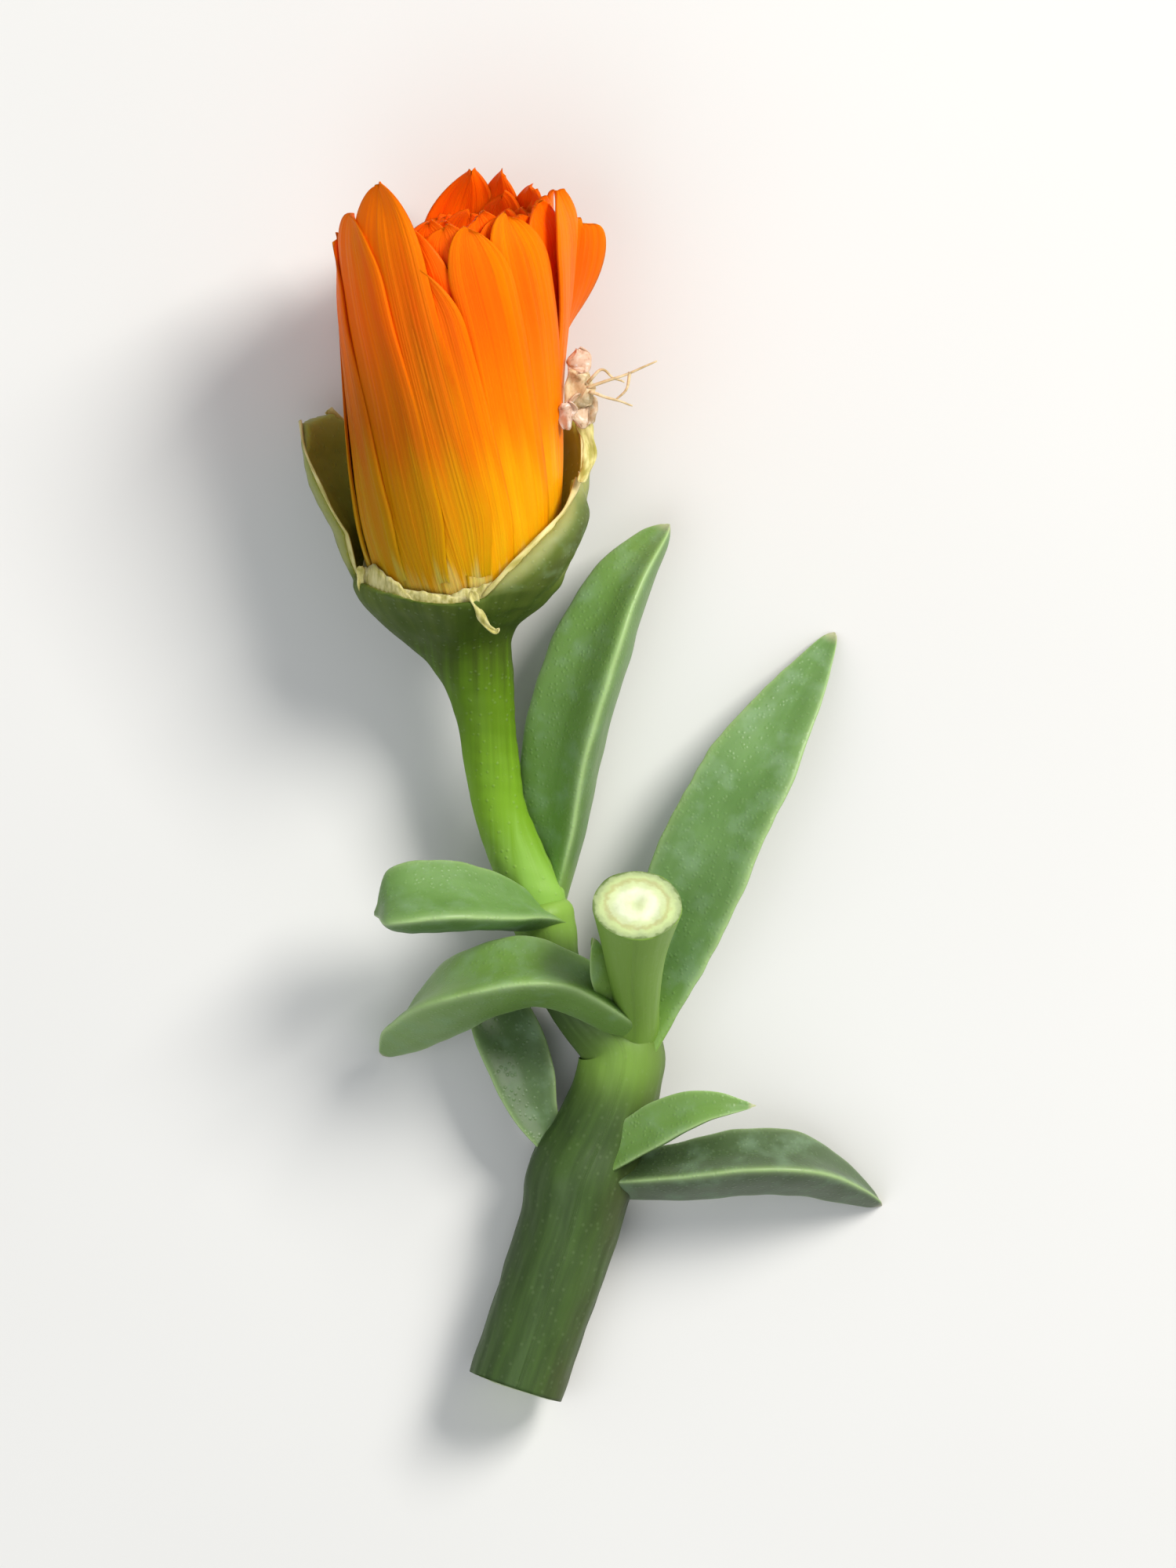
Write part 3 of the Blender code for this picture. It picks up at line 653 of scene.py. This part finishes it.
def calyx_paint():
    """The stalk, bright below and olive under the flower, the cup, and fleshy lobes with pale rims.

    The darkest olive just under the rim is partly painted shade, and the lobes' inner faces are painted
    lighter.
    """
    paint = Paint("calyx", subsurface=0.14, glow=(0.5, 0.9, 0.12), depth=0.5, gloss=0.13)
    streaks = paint.noise(paint.lengthwise(stretch=0.14), 0.4, detail=3.0)
    drift = paint.spread(streaks, 0.25, 0.75, -0.05, 0.05)
    high = paint.math("ADD", paint.value("along"), drift)
    # Colour by height: darkest olive at 0.58, on the cup's underside below the rim. That band is partly its
    # own colour and partly painted shade under the bloom.
    colour = paint.colours(
        high,
        (0.0, (0.25, 0.46, 0.075)),
        (0.2, (0.17, 0.34, 0.018)),
        (0.42, (0.10, 0.20, 0.008)),
        (0.58, (0.052, 0.086, 0.008)),
        (0.74, (0.10, 0.14, 0.02)),
        (0.84, (0.125, 0.17, 0.038)),
        (1.0, (0.11, 0.16, 0.042)),
    )
    spots = paint.noise(paint.place(), 1.1, detail=4.0)
    centre = paint.math("MULTIPLY", paint.value("lobe"), paint.spread(spots, 0.3, 0.7, 0.45, 0.9))
    colour = paint.mix(centre, colour, (0.07, 0.09, 0.02))
    wax = paint.spread(paint.noise(paint.place(), 0.8, detail=4.0), 0.48, 0.75, 0.0, 0.4)
    colour = paint.mix(paint.math("MULTIPLY", wax, paint.value("lobe_all")), colour, (0.20, 0.29, 0.14))
    colour = paint.mix(paint.math("MULTIPLY", paint.value("edge"), 0.8), colour, (0.36, 0.37, 0.13))
    # The lobes' inner faces are painted a lighter olive-yellow: partly their own colour and partly painted
    # light, lifting the shade of the tube on them.
    colour = paint.mix(paint.math("MULTIPLY", paint.value("inner"), 0.9), colour, (0.34, 0.36, 0.05))
    speck = paint.spread(paint.dots(paint.place(), 0.33), 0.3, 0.06)
    colour = paint.mix(paint.math("MULTIPLY", speck, 0.1), colour, (0.42, 0.52, 0.28))
    paint.set("Base Color", colour)
    paint.set("Roughness", paint.spread(spots, 0.3, 0.7, 0.42, 0.58))
    paint.relief(paint.math("MULTIPLY_ADD", streaks, 0.8, speck), 0.04, 0.5)
    return paint.material


def membrane_paint():
    """Papery skin at the calyx rim: cream, letting some light through, and brown where it has dried."""
    paint = Paint("membrane", subsurface=0.3, glow=(1.0, 0.75, 0.4), depth=0.5, gloss=0.3)
    fibre = paint.lengthwise(stretch=0.3)
    streaks = paint.noise(fibre, 0.2, detail=3.0)
    fresh = paint.colours(streaks, (0.3, (0.36, 0.33, 0.07)), (0.65, (0.70, 0.62, 0.25)))
    dried = paint.colours(
        streaks,
        (0.25, (0.34, 0.18, 0.11)),
        (0.5, (0.66, 0.44, 0.32)),
        (0.75, (0.80, 0.72, 0.62)),
    )
    paint.set("Base Color", paint.mix(paint.value("dry"), fresh, dried))
    paint.set("Roughness", paint.spread(streaks, 0.3, 0.7, 0.65, 0.45))
    paint.relief(streaks, 0.05, 0.7)
    return paint.material


def cut_paint():
    """A fresh cut through a stalk: pale wet flesh, a ring of fibres, and the green skin round it."""
    paint = Paint("cut_face", subsurface=0.25, glow=(0.7, 0.9, 0.4), depth=0.5)
    grain = paint.noise(paint.place(), 0.35, detail=4.0)
    out = paint.math("ADD", paint.value("along"), paint.spread(grain, 0.2, 0.8, -0.05, 0.05))
    colour = paint.colours(
        out,
        (0.0, (0.62, 0.74, 0.36)),
        (0.38, (0.80, 0.90, 0.58)),
        (0.60, (0.60, 0.72, 0.36)),
        (0.70, (0.48, 0.52, 0.22)),
        (0.80, (0.52, 0.66, 0.28)),
        (0.93, (0.40, 0.52, 0.22)),
        (1.0, (0.17, 0.26, 0.07)),
    )
    paint.set("Base Color", colour)
    paint.set("Roughness", paint.spread(grain, 0.3, 0.7, 0.3, 0.5))
    paint.relief(grain, 0.06, 0.6)
    return paint.material


def stamen_paint():
    """Yellow filaments under pollen-dusted anthers."""
    paint = Paint("stamen", subsurface=0.2, glow=(1.0, 0.7, 0.2), depth=0.4)
    dust = paint.noise(paint.place(), 0.12, detail=3.0)
    colour = paint.mix(paint.value("anther"), (0.74, 0.46, 0.05), (0.82, 0.58, 0.10))
    colour = paint.mix(paint.spread(dust, 0.45, 0.7, 0.0, 0.5), colour, (0.90, 0.74, 0.30))
    paint.set("Base Color", colour)
    paint.set("Roughness", paint.spread(dust, 0.3, 0.7, 0.5, 0.8))
    paint.relief(dust, 0.05, 0.7)
    return paint.material


# The flower

def petal(shape, tip_angle, reach, half_width, inside, overlap, lean, roll_deg, point, draw, blush=0.0):
    """One strap-shaped petal of the closed tube, which lies over the next one at its right edge."""
    rows, columns = 36, 13
    u = np.linspace(0, 1, rows)[:, None]
    t = 1 - (1 - u) ** 1.7
    x = np.linspace(-1, 1, columns)[None, :]
    over = PETAL_ROOT + (reach - PETAL_ROOT) * t
    taper = np.maximum(1 - np.clip((t - 0.83) / 0.17, 0, 1) ** 2, 0) ** point
    widening = (half_width - PETAL_BASE_HALF_WIDTH) * ramp(over, 0, 4)
    broad = (PETAL_BASE_HALF_WIDTH + widening) * np.maximum(taper, 0.1)
    roll = math.radians(roll_deg) * ramp(t, 0.45, 0.9)
    sway = draw.uniform(-0.12, 0.12) * np.sin(over * draw.uniform(0.25, 0.4) + draw.uniform(0, 6))
    radius = between(TUBE_RADII, over) - inside * ramp(over, -1, 1.5) + lean * ramp(t, 0.5, 1.0)
    radius = radius + overlap * ramp(over, 0, 2) * x + x * broad * np.sin(roll)
    curl = draw.uniform(-0.03, 0.06) * x**2 * ramp(t, 0.5, 1.0)
    ripple = 0.03 * np.sin(over * draw.uniform(0.6, 0.9) + 2.2 * x + draw.uniform(0, 6)) * x**2
    ridges = 0.03 * np.cos(x * 2 * math.pi * 1.5) * ramp(over, 0.5, 3) * taper
    radius = radius + curl + ripple + ridges - 0.1 * (1 - x**2) * ramp(t, 0.8, 1.0)
    twist = math.radians(PETAL_TWIST_DEG) * (1 - over / PETAL_REACH)
    turn = math.radians(tip_angle) + twist + (x * broad * np.cos(roll) + sway) / np.maximum(radius, 1.0)
    notch = draw.uniform(-0.35, 0.0) * bump_at(x, draw.uniform(-0.3, 0.3), 0.35)
    end = over + (notch + draw.uniform(-0.2, 0.2) * x - 0.1) * ramp(t, 0.86, 1)
    thick = PETAL_THICKNESS * (1 - 0.5 * x**2)
    sheet = blade(bloom_points(turn, radius, end), bloom_points(turn, radius - thick, end))
    off_middle = np.ones((rows, 1)) * x * half_width
    # How much painted shade this petal gets, most on the left side of the flower; inner petals get little. It
    # rides in the tone value.
    painted_shade = (1 - blush) * (0.45 + 0.45 * math.cos(math.radians(tip_angle - PAINTED_SHADE_DEG)))
    shape.add(
        sheet,
        along=np.tile(over / PETAL_REACH, (1, 2 * columns)),
        side=blade(off_middle, off_middle + INSIDE_VEINS),
        inner=blade(np.full((rows, columns), blush), np.ones((rows, columns))),
        tone=painted_shade + draw.uniform(0, 0.1),
    )


def petals():
    """The outer petals at their measured places, and the layers that fill the tube."""
    draw = random.Random(SEED)
    shape = Shape()
    for angle, reach, half_width, lean, roll, point in OUTER_PETALS:
        petal(shape, angle, reach, half_width, 0.0, PETAL_OVERLAP, lean, roll, point, draw)
    for layer, (count, half_width, inside, shorter) in enumerate(INNER_LAYERS):
        for k in range(count):
            angle = 360 * (k + 0.5 * layer) / count + draw.uniform(-5, 5)
            rise = sum(most * math.cos(math.radians(angle - at) / 2) ** 8 for at, most in INNER_RISES)
            reach = PETAL_REACH - shorter + rise + draw.uniform(-0.4, 0.2)
            lean, point = draw.uniform(-0.1, 0.05), draw.uniform(0.45, 0.75)
            petal(shape, angle, reach, half_width, inside, INNER_OVERLAP, lean, 0.0, point, draw, INNER_BLUSH)
    return shape.build("petals_fine", [petal_paint()])


def stamens():
    """The crowd of stamens inside the petals."""
    draw = random.Random(SEED + 1)
    shape = Shape()
    for k in range(STAMEN_COUNT):
        angle = 2 * math.pi * k * 0.618 + draw.uniform(-0.1, 0.1)
        ring = 0.8 + 0.85 * (k / STAMEN_COUNT)
        height = draw.uniform(6.6, 9.6)
        lean = draw.uniform(-0.1, 0.35)
        levels = (
            (-0.9, 0, 0.11), (0.5 * height, 0.4 * lean, 0.09), (height, lean, 0.08),
            (height + 0.1, lean, 0.2), (height + 0.6, lean, 0.26), (height + 1.2, lean, 0.2),
            (height + 1.4, lean, 0.05),
        )
        path = np.array([[*bloom_points(angle, ring + off, reach), thick] for reach, off, thick in levels])
        shape.add(tube(path, 6)[0], anther=np.array((0, 0, 0, 1, 1, 1, 1))[:, None])
    return shape.build("stamens_fine", [stamen_paint()])


def sepal_breadth(sepal, t):
    """Half the width of a calyx lobe at t along it."""
    half_width, blunt = sepal[2], sepal[5]
    return half_width * ((1 - blunt) * between(SEPAL_WIDTHS, t) + blunt * between(BLUNT_WIDTHS, t))


def rim_dip(angle):
    """How far the cup's rim stands under its plane at an angle round the flower."""
    total = 0
    for degrees, depth, reach in RIM_DIPS:
        off = (angle - math.radians(degrees) + math.pi) % (2 * math.pi) - math.pi
        total = total + depth * bump_at(off, 0, reach)
    return total


def sepal_place(sepal, x, t):
    """The angle, radius and distance over the rim of a lobe at x across and t along it, and its crown."""
    degrees, length, _, lean, turn_degrees, _ = sepal
    reach = SEPAL_ROOT + (length - SEPAL_ROOT) * t
    broad = sepal_breadth(sepal, t)
    crown = SEPAL_CROWN * (1 - x * x) * np.sin(math.pi * np.minimum(t * 0.9, 1))
    over = np.maximum(reach, 0)
    away = SEPAL_STANDOFF + lean * np.maximum(reach - SEPAL_BEND, 0)
    radius = between(TUBE_RADII, over) + away - SEPAL_SINK * np.maximum(-reach, 0)
    turn = math.radians(degrees) + math.radians(turn_degrees) * t + x * broad / radius
    return turn, radius, reach, crown


def calyx():
    """The stalk, the cup it widens into, its lobes and the stigmas, with one skin grown over them."""
    shape = Shape()
    path = curve_through(STALK + ((*RIM_CENTRE, RIM_RADIUS),), 90)[0]
    turn = np.linspace(0, 2 * math.pi, STALK_SIDES, endpoint=False)
    ribs = 0.025 * np.cos(5 * turn)[None, :] * ramp(path[:, 1], 3.0, 6.5)[:, None]
    outside = tube(path, STALK_SIDES, relief=ribs)[0]
    dip = rim_dip(turn)
    rings = (
        (RIM_RADIUS, -dip), (RIM_RADIUS - 0.2, 0.12 - dip),
        (CUP_INNER_RADIUS, -dip), (CUP_FLOOR_RADIUS, -CUP_DEPTH),
    )
    low = [bloom_points(turn, radius, reach) for radius, reach in rings]
    shape.add(np.concatenate([outside[:-1], np.array(low)]))
    x = np.linspace(-1, 1, 25)[None, :]
    t = np.linspace(0, 1, 40)[:, None]
    for sepal in SEPALS:
        angle, radius, reach, crown = sepal_place(sepal, x, t)
        tip = 0.35 * ramp(t, 0.7, 1.0)
        outer = bloom_points(angle, radius + crown - tip, reach + 0 * x)
        inner = bloom_points(angle, radius - SEPAL_EDGE * (1 - 0.35 * x**2) - tip, reach + 0 * x)
        shape.add(blade(outer, inner))
    for k in range(STIGMA_COUNT):
        angle = 2 * math.pi * (k + 0.5) / STIGMA_COUNT
        ends = (bloom_points(angle, 0.22, -CUP_DEPTH - 0.3), bloom_points(angle, 0.46, STIGMA_LENGTH))
        rows = np.array([[*ends[0], 0.3], [*ends[1], 0.18]])
        shape.add(tube(rows, 12)[0])
    piece = shape.build("calyx_fine")
    grow_together(piece, SKIN_VOXEL, SKIN_SMOOTHING)
    piece.data.materials.clear()
    piece.data.materials.append(calyx_paint())
    finish_calyx(piece.data)
    return piece


def finish_calyx(mesh):
    """Uneven flesh, and the values that the calyx material reads."""
    points, normals = drawing_points(mesh)
    angle, radius, reach = bloom_places(points)
    uneven = 0.05 * wobble(points, 3.0, 3) + 0.025 * wobble(points, 1.1, 4)
    place_points(mesh, points + normals * uneven[:, None])
    stalk = (points[:, 1] - STALK_FOOT_Y) / (RIM_CENTRE[1] - STALK_FOOT_Y)
    level = np.where(reach > 0, RIM_LEVEL + (1 - RIM_LEVEL) * reach / LOBE_REACH, RIM_LEVEL * stalk)
    edge = np.zeros(len(points))
    centre = np.zeros(len(points))
    for sepal in SEPALS:
        t = np.clip((reach - SEPAL_ROOT) / (sepal[1] - SEPAL_ROOT), 0, 1)
        middle = sepal_place(sepal, 0, t)[0]
        broad = sepal_breadth(sepal, t)
        off = (angle - middle + math.pi) % (2 * math.pi) - math.pi
        x = np.abs(off * radius / broad)
        near = (x < 1.35) & (reach > -0.4)
        rim = np.maximum(ramp(x, 0.5, 0.98), ramp(t, 0.8, 1.0))
        edge = np.where(near, np.maximum(edge, rim * ramp(reach, -0.2, 0.8)), edge)
        middle_part = (1 - ramp(x, 0.1, 0.75)) * ramp(reach, -0.5, 1.5)
        centre = np.where(near, np.maximum(centre, middle_part), centre)
    out = points - RIM_CENTRE - np.outer(reach, ALONG)
    facing = np.einsum("ij,ij->i", normals, out) / np.maximum(radius, 0.1)
    set_values(mesh, "along", np.clip(level, 0, 1))
    set_values(mesh, "side", angle * np.minimum(radius, 3.0))
    set_values(mesh, "edge", edge)
    set_values(mesh, "lobe", centre)
    set_values(mesh, "lobe_all", ramp(reach, -0.6, 1.0))
    set_values(mesh, "inner", ramp(-facing, -0.1, 0.4) * ramp(reach, -0.8, 0.0))
    set_values(mesh, "tone", np.zeros(len(points)))


def membranes():
    """Papery rims of the calyx lobes, the crescents at the foot of the petals, and torn and dried skin."""
    draw = random.Random(SEED + 2)
    shape = Shape()
    for sepal in SEPALS:
        for edge in (-1, 1):
            lobe_rim(shape, sepal, edge, draw)
    crescents(shape, draw)
    torn_skin(shape, draw)
    return shape.build("calyx_membranes", [membrane_paint()])


def thin(grid, thickness=0.07):
    """A closed sheet round a grid that lies in its middle."""
    down = np.gradient(grid, axis=0)
    over = np.gradient(grid, axis=1)
    normal = np.cross(over, down)
    normal /= np.maximum(np.linalg.norm(normal, axis=2), 1e-9)[..., None]
    return blade(grid + normal * thickness / 2, grid - normal * thickness / 2)


def lobe_rim(shape, sepal, edge, draw):
    """The papery strip along one edge of a calyx lobe."""
    rows, columns = 60, 6
    t = np.linspace(0.08, 1.0, rows)[:, None]
    w = np.linspace(0, 1, columns)[None, :]
    angle, radius, reach, _ = sepal_place(sepal, edge, t)
    width = 0.26 * ramp(t, 0.05, 0.3) * (1 - 0.55 * ramp(t, 0.75, 1.0))
    ragged = 0.4 * np.sin(9 * t + draw.uniform(0, 6)) + 0.25 * np.sin(23 * t + draw.uniform(0, 6))
    out = (-0.2 + w * (width * (1 + ragged) + 0.2)) * edge
    inward = 0.25 + 0.15 * w**2 + 0.04 * np.sin(17 * t + 3 * w + draw.uniform(0, 6)) * w
    grid = bloom_points(angle + out / radius, radius - inward, reach + 0.25 * w * ramp(t, 0.8, 1.0))
    side = np.tile(w * width, (1, 2))
    shape.add(thin(grid), along=t * sepal[1], side=side, dry=0.25 * ramp(t, 0.6, 1.0), tone=draw.random())


def crescents(shape, draw):
    """The cream crescents of skin that stand at the cup's rim against the petals."""
    w = np.linspace(0, 1, 5)[:, None]
    s = np.linspace(-1, 1, 90)[None, :]
    for degrees, spread, height, off in CRESCENTS:
        turn = math.radians(degrees) + math.radians(spread) * s
        phase = draw.uniform(0, 6)
        top = height * (1 - s**2) * (1 + 0.12 * np.sin(9 * s + phase)) + 0.03 * np.sin(27 * s + phase)
        low = -0.15 - rim_dip(turn)
        radius = CUP_INNER_RADIUS - 0.1 + off - 0.08 * w + 0.03 * np.sin(11 * s + phase) * w
        grid = bloom_points(turn, radius, low + w * (0.15 + top))
        shape.add(thin(grid), along=w, side=np.tile(turn * 4, (1, 2)), dry=0.08, tone=draw.random())


def torn_skin(shape, draw):
    """The shrivelled scraps at the right of the calyx, a few stiff threads, and ribbons of torn skin."""
    for middle, size, dry in SCRAPS:
        crumple(shape, np.array(middle), size, dry, draw)
    for points in THREADS:
        path = curve_through(points, 24)[0]
        path = np.column_stack([path, THREAD_RADIUS * (1 - 0.5 * np.linspace(0, 1, 24))])
        path[:, :3] += 0.05 * wobble(path[:, :3], 1.0, 5)[:, None]
        along = np.linspace(0, 3, 24)[:, None]
        shape.add(tube(path, 8)[0], along=along, side=0.1, dry=0.6, tone=draw.random())
    for half_width, narrows, points in RIBBONS:
        path = curve_through(points, 40)[0]
        t = np.linspace(0, 1, 40)[:, None]
        side, top = across(path, (0.2, 0.0, 1.0))
        x = np.linspace(-1, 1, 7)[None, :]
        broad = half_width * (1 - narrows * t) * np.sqrt(1 - 0.96 * (2 * t - 1) ** 6)
        broad = broad * (1 + 0.2 * np.sin(14 * t + draw.uniform(0, 6)))
        fold = 0.25 * half_width * np.sin(2.5 * x + 9 * t + draw.uniform(0, 6))
        ribbon = path[:, None, :] + side[:, None] * (x * broad)[..., None] + top[:, None] * fold[..., None]
        side = np.tile(x * broad, (1, 2))
        shape.add(thin(ribbon, 0.06), along=3 * t, side=side, dry=0.0, tone=draw.random())


def crumple(shape, middle, size, dry, draw):
    """One small folded flake of dried skin."""
    rows, columns = 26, 14
    u = np.linspace(-1, 1, rows)[:, None]
    v = np.linspace(-1, 1, columns)[None, :]
    seed = draw.randint(0, 999)
    flat = np.stack([v * size[0] * np.sqrt(1 - 0.8 * u**2), u * size[1] + 0 * v, 0 * u * v], axis=-1)
    fold = 0.5 * np.sin(3.2 * v + 1.5 * u + draw.uniform(0, 6))
    fold = fold + 0.3 * np.sin(4 * u - v + draw.uniform(0, 6))
    flat[..., 2] = fold * size[2]
    grid = middle + flat + np.stack([0.17 * wobble(flat, 1.0, seed + k) for k in range(3)], axis=-1)
    side = np.tile(v * size[0], (1, 2))
    shape.add(thin(grid, 0.06), along=(u + 1) * 2, side=side, dry=dry, tone=draw.random())


# Leaves and stem

def leaf_section():
    """Three-cornered section of unit width and depth, which points are corners, and which the flat side."""
    corners = np.array((
        (0.5, -0.08), (0.44, 0.05), (0.0, -0.05), (-0.44, 0.05), (-0.5, -0.08),
        (-0.36, -0.5), (-0.07, -0.98), (0.07, -0.98), (0.36, -0.5),
    ))
    count = len(corners)
    per_side = 5
    points, places = [], []
    for k in range(count):
        a, b, c, d = (corners[(k + shift) % count] for shift in (-1, 0, 1, 2))
        for t in np.linspace(0, 1, per_side, endpoint=False):
            points.append(spline(a, b, c, d, t))
            places.append(k + t)
    places = np.array(places)
    half = count / 2
    nearest = np.min([np.abs((places - corner + half) % count - half) for corner in (0.5, 3.5, 6.5)], axis=0)
    return np.array(points), bump_at(nearest, 0, 0.42), ((places > 0.5) & (places < 3.5)).astype(float)


def leaf_grid(path, face, width, depth_share, blunt, heel):
    """The skin of a leaf along a path."""
    section, edge, flat = leaf_section()
    side, top = across(path, face)
    t = np.linspace(0, 1, len(path))
    broad = width * ((1 - blunt) * between(LEAF_WIDTHS, t) + blunt * between(BLUNT_LEAF_WIDTHS, t))
    broad = broad * (1 - heel * (1 - t) ** 2)
    cap = 0.035 + 0.07 * blunt
    broad = broad * np.sqrt(1 - 0.99 * np.clip((t - 1 + cap) / cap, 0, 1) ** 2)
    u = section[:, 0][None, :] * broad[:, None]
    v = (section[:, 1] + 0.42)[None, :] * broad[:, None] * depth_share
    return path[:, None, :3] + side[:, None] * u[..., None] + top[:, None] * v[..., None], edge, flat


def add_leaf(shape, path, length, face, width, depth_share, blunt, heel, fresh, seed, slot=0):
    """One succulent leaf with slightly uneven flesh and a small dry point."""
    ahead = path[-1] - path[-2]
    path = np.vstack([path, path[-1] + ahead / np.linalg.norm(ahead) * LEAF_TIP])
    length = np.append(length, length[-1] + LEAF_TIP)
    grid, edge, flat = leaf_grid(path, face, width, depth_share, blunt, heel)
    t = np.linspace(0, 1, len(path))[:, None]
    middle = grid.mean(axis=1)[:, None]
    out = grid - middle
    uneven = 0.035 * wobble(grid, 4.5, seed) + 0.012 * wobble(grid, 1.5, seed + 1)
    grid = middle + out * (1 + uneven)[..., None]
    turn = np.linspace(0, 1, grid.shape[1])[None, :]
    shape.add(
        grid,
        slot=slot,
        along=length[:, None],
        side=turn * 2.6 * width,
        edge=edge[None, :] * ramp(t, 0.02, 0.2),
        face=flat[None, :] + 0 * t,
        foot=np.maximum(1 - ramp(t, 0.02, 0.22), fresh),
        dull=max(-fresh, 0),
        tip=ramp(t, 0.965, 1.0) * (1 - blunt),
        tone=seed,
    )


def leaf(name, face, width, depth_share, blunt, heel, fresh, points, seed, paint):
    """One leaf of the sprig as a piece of its own."""
    shape = Shape()
    path, length = curve_through(points, LEAF_ROWS)
    add_leaf(shape, path, length, face, width, depth_share, blunt, heel, fresh, seed)
    return shape.build(name + "_fine", [paint])


def cut_face(shape, path, sides, face, seed):
    """The cut surface over the last end of a stem: faintly domed and uneven."""
    grid, turn = tube(path, sides, face)
    ring, middle = grid[-1], path[-1, :3]
    ahead = middle - path[-2, :3]
    ahead /= np.linalg.norm(ahead)
    rows = np.linspace(1, 0.02, 14)
    disc = middle + (ring - middle)[None] * rows[:, None, None]
    rise = (0.06 + 0.04 * wobble(disc, 1.0, seed)) * (1 - rows**6)[:, None]
    disc = disc + ahead * rise[..., None]
    shape.add(disc, caps=(False, True), slot=1, along=rows[:, None], side=turn[None, :], tone=0.5)


def stem():
    """The leafy stem with its cut end, the stub of a cut flower stalk, and the small bract beside it."""
    shape = Shape()
    path, length = curve_through(STEM, 150)
    turn = np.linspace(0, 2 * math.pi, STEM_SIDES, endpoint=False)
    relief = 0.02 * np.cos(4 * turn)[None, :] + 0.006 * np.cos(11 * turn)[None, :]
    grid = tube(path, STEM_SIDES, relief=relief)[0]
    relief = relief + 0.02 * wobble(grid, 3.5, 11) + 0.012 * wobble(grid, 1.2, 12)
    grid = tube(path, STEM_SIDES, relief=relief)[0]
    node = bump_at(path[:, 1], UPPER_NODE_Y, 1.5)[:, None] * (0.55 + 0.45 * np.cos(turn - 0.6))[None, :]
    young = 1.25 * (1 - ramp(length, 0.3, 3.0))[:, None]
    age = ramp(np.cos(turn + 1.9), -0.2, 0.8)[None, :] * ramp(length, 4, 9)[:, None]
    foot = np.maximum(node, young)
    shape.add(grid, along=length[:, None], side=turn[None, :] * 2, foot=foot, age=age, tone=0.2)
    cut_face(shape, path, STEM_SIDES, (0, 0, 1), 31)
    stub, stub_length = curve_through(STUB, 60)
    turn = np.linspace(0, 2 * math.pi, STUB_SIDES, endpoint=False)
    grid = tube(stub, STUB_SIDES, STUB_FACE, relief=0.02 * np.cos(5 * turn)[None, :])[0]
    shape.add(grid, along=stub_length[:, None], side=turn[None, :] * 1.6, foot=STUB_FRESHNESS, tone=0.6)
    cut_face(shape, stub, STUB_SIDES, STUB_FACE, 32)
    bract, bract_length = curve_through(STUB_BRACT, 40)
    add_leaf(shape, bract, bract_length, (-1, 0.2, 0.2), STUB_BRACT_WIDTH, 0.55, 0.2, 0, 1.0, 41, slot=2)
    return shape


# The whole sprig

petals_piece = petals()
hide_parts("petals")

stamens_piece = stamens()
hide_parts("stamens")

calyx_piece = calyx()
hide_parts("flower_base")

membrane_piece = membranes()

leaf_material = leaf_paint()
stem_piece = stem().build("stem_fine", [stem_paint(), cut_paint(), leaf_material])
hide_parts("stem")

pieces = [petals_piece, stamens_piece, calyx_piece, membrane_piece, stem_piece]
for number, (name, values) in enumerate(LEAVES.items()):
    piece = leaf(name, *values, seed=LEAF_SEED + 3 * number, paint=leaf_material)
    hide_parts(name)
    pieces.append(piece)

for piece in pieces:
    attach(piece, "root")


# Floor, light and camera

def floor():
    """A wide plain floor of a faintly uneven pale grey."""
    bpy.ops.mesh.primitive_plane_add(size=8)
    made = bpy.context.object
    made.name = "floor"
    paint = Paint("floor", roughness=0.7)
    grain = paint.noise(paint.place(), 40.0, detail=2.0)
    paint.set("Base Color", paint.colours(grain, (0.3, (0.70, 0.70, 0.685)), (0.7, (0.72, 0.72, 0.705))))
    made.data.materials.append(paint.material)


def lamp(name, place, size, energy, colour):
    """A square softbox that looks at the sprig."""
    light = bpy.data.lights.new(name, "AREA")
    light.size = size
    light.energy = energy
    light.color = colour
    made = bpy.data.objects.new(name, light)
    bpy.context.scene.collection.objects.link(made)
    made.location = place
    made.rotation_euler = (-Vector(place)).to_track_quat("-Z", "Y").to_euler()


def studio():
    """A dim pale sky, a soft key lamp at the right, and a weaker wide one at the left."""
    world = bpy.data.worlds.new("studio")
    bpy.context.scene.world = world
    world.use_nodes = True
    sky = world.node_tree.nodes["Background"]
    sky.inputs["Color"].default_value = (0.95, 0.97, 1.0, 1)
    sky.inputs["Strength"].default_value = 0.36
    lamp("key", (0.26, 0.22, 0.30), 0.18, 2.35, (1.0, 0.97, 0.92))
    lamp("fill", (-0.16, -0.16, 0.42), 0.4, 0.8, (0.93, 0.96, 1.0))
    bpy.context.scene.view_settings.view_transform = "Standard"


def camera():
    """Straight above the sprig, as the photograph looks at it."""
    lens, height, frame_height = 180.0, 1.0, 0.07
    data = bpy.data.cameras.new("camera")
    data.lens = lens
    data.sensor_width = frame_height / height * lens
    data.clip_start = 0.01
    made = bpy.data.objects.new("camera", data)
    bpy.context.scene.collection.objects.link(made)
    made.location = (0, 0, height)
    bpy.context.scene.camera = made


floor()
studio()
camera()
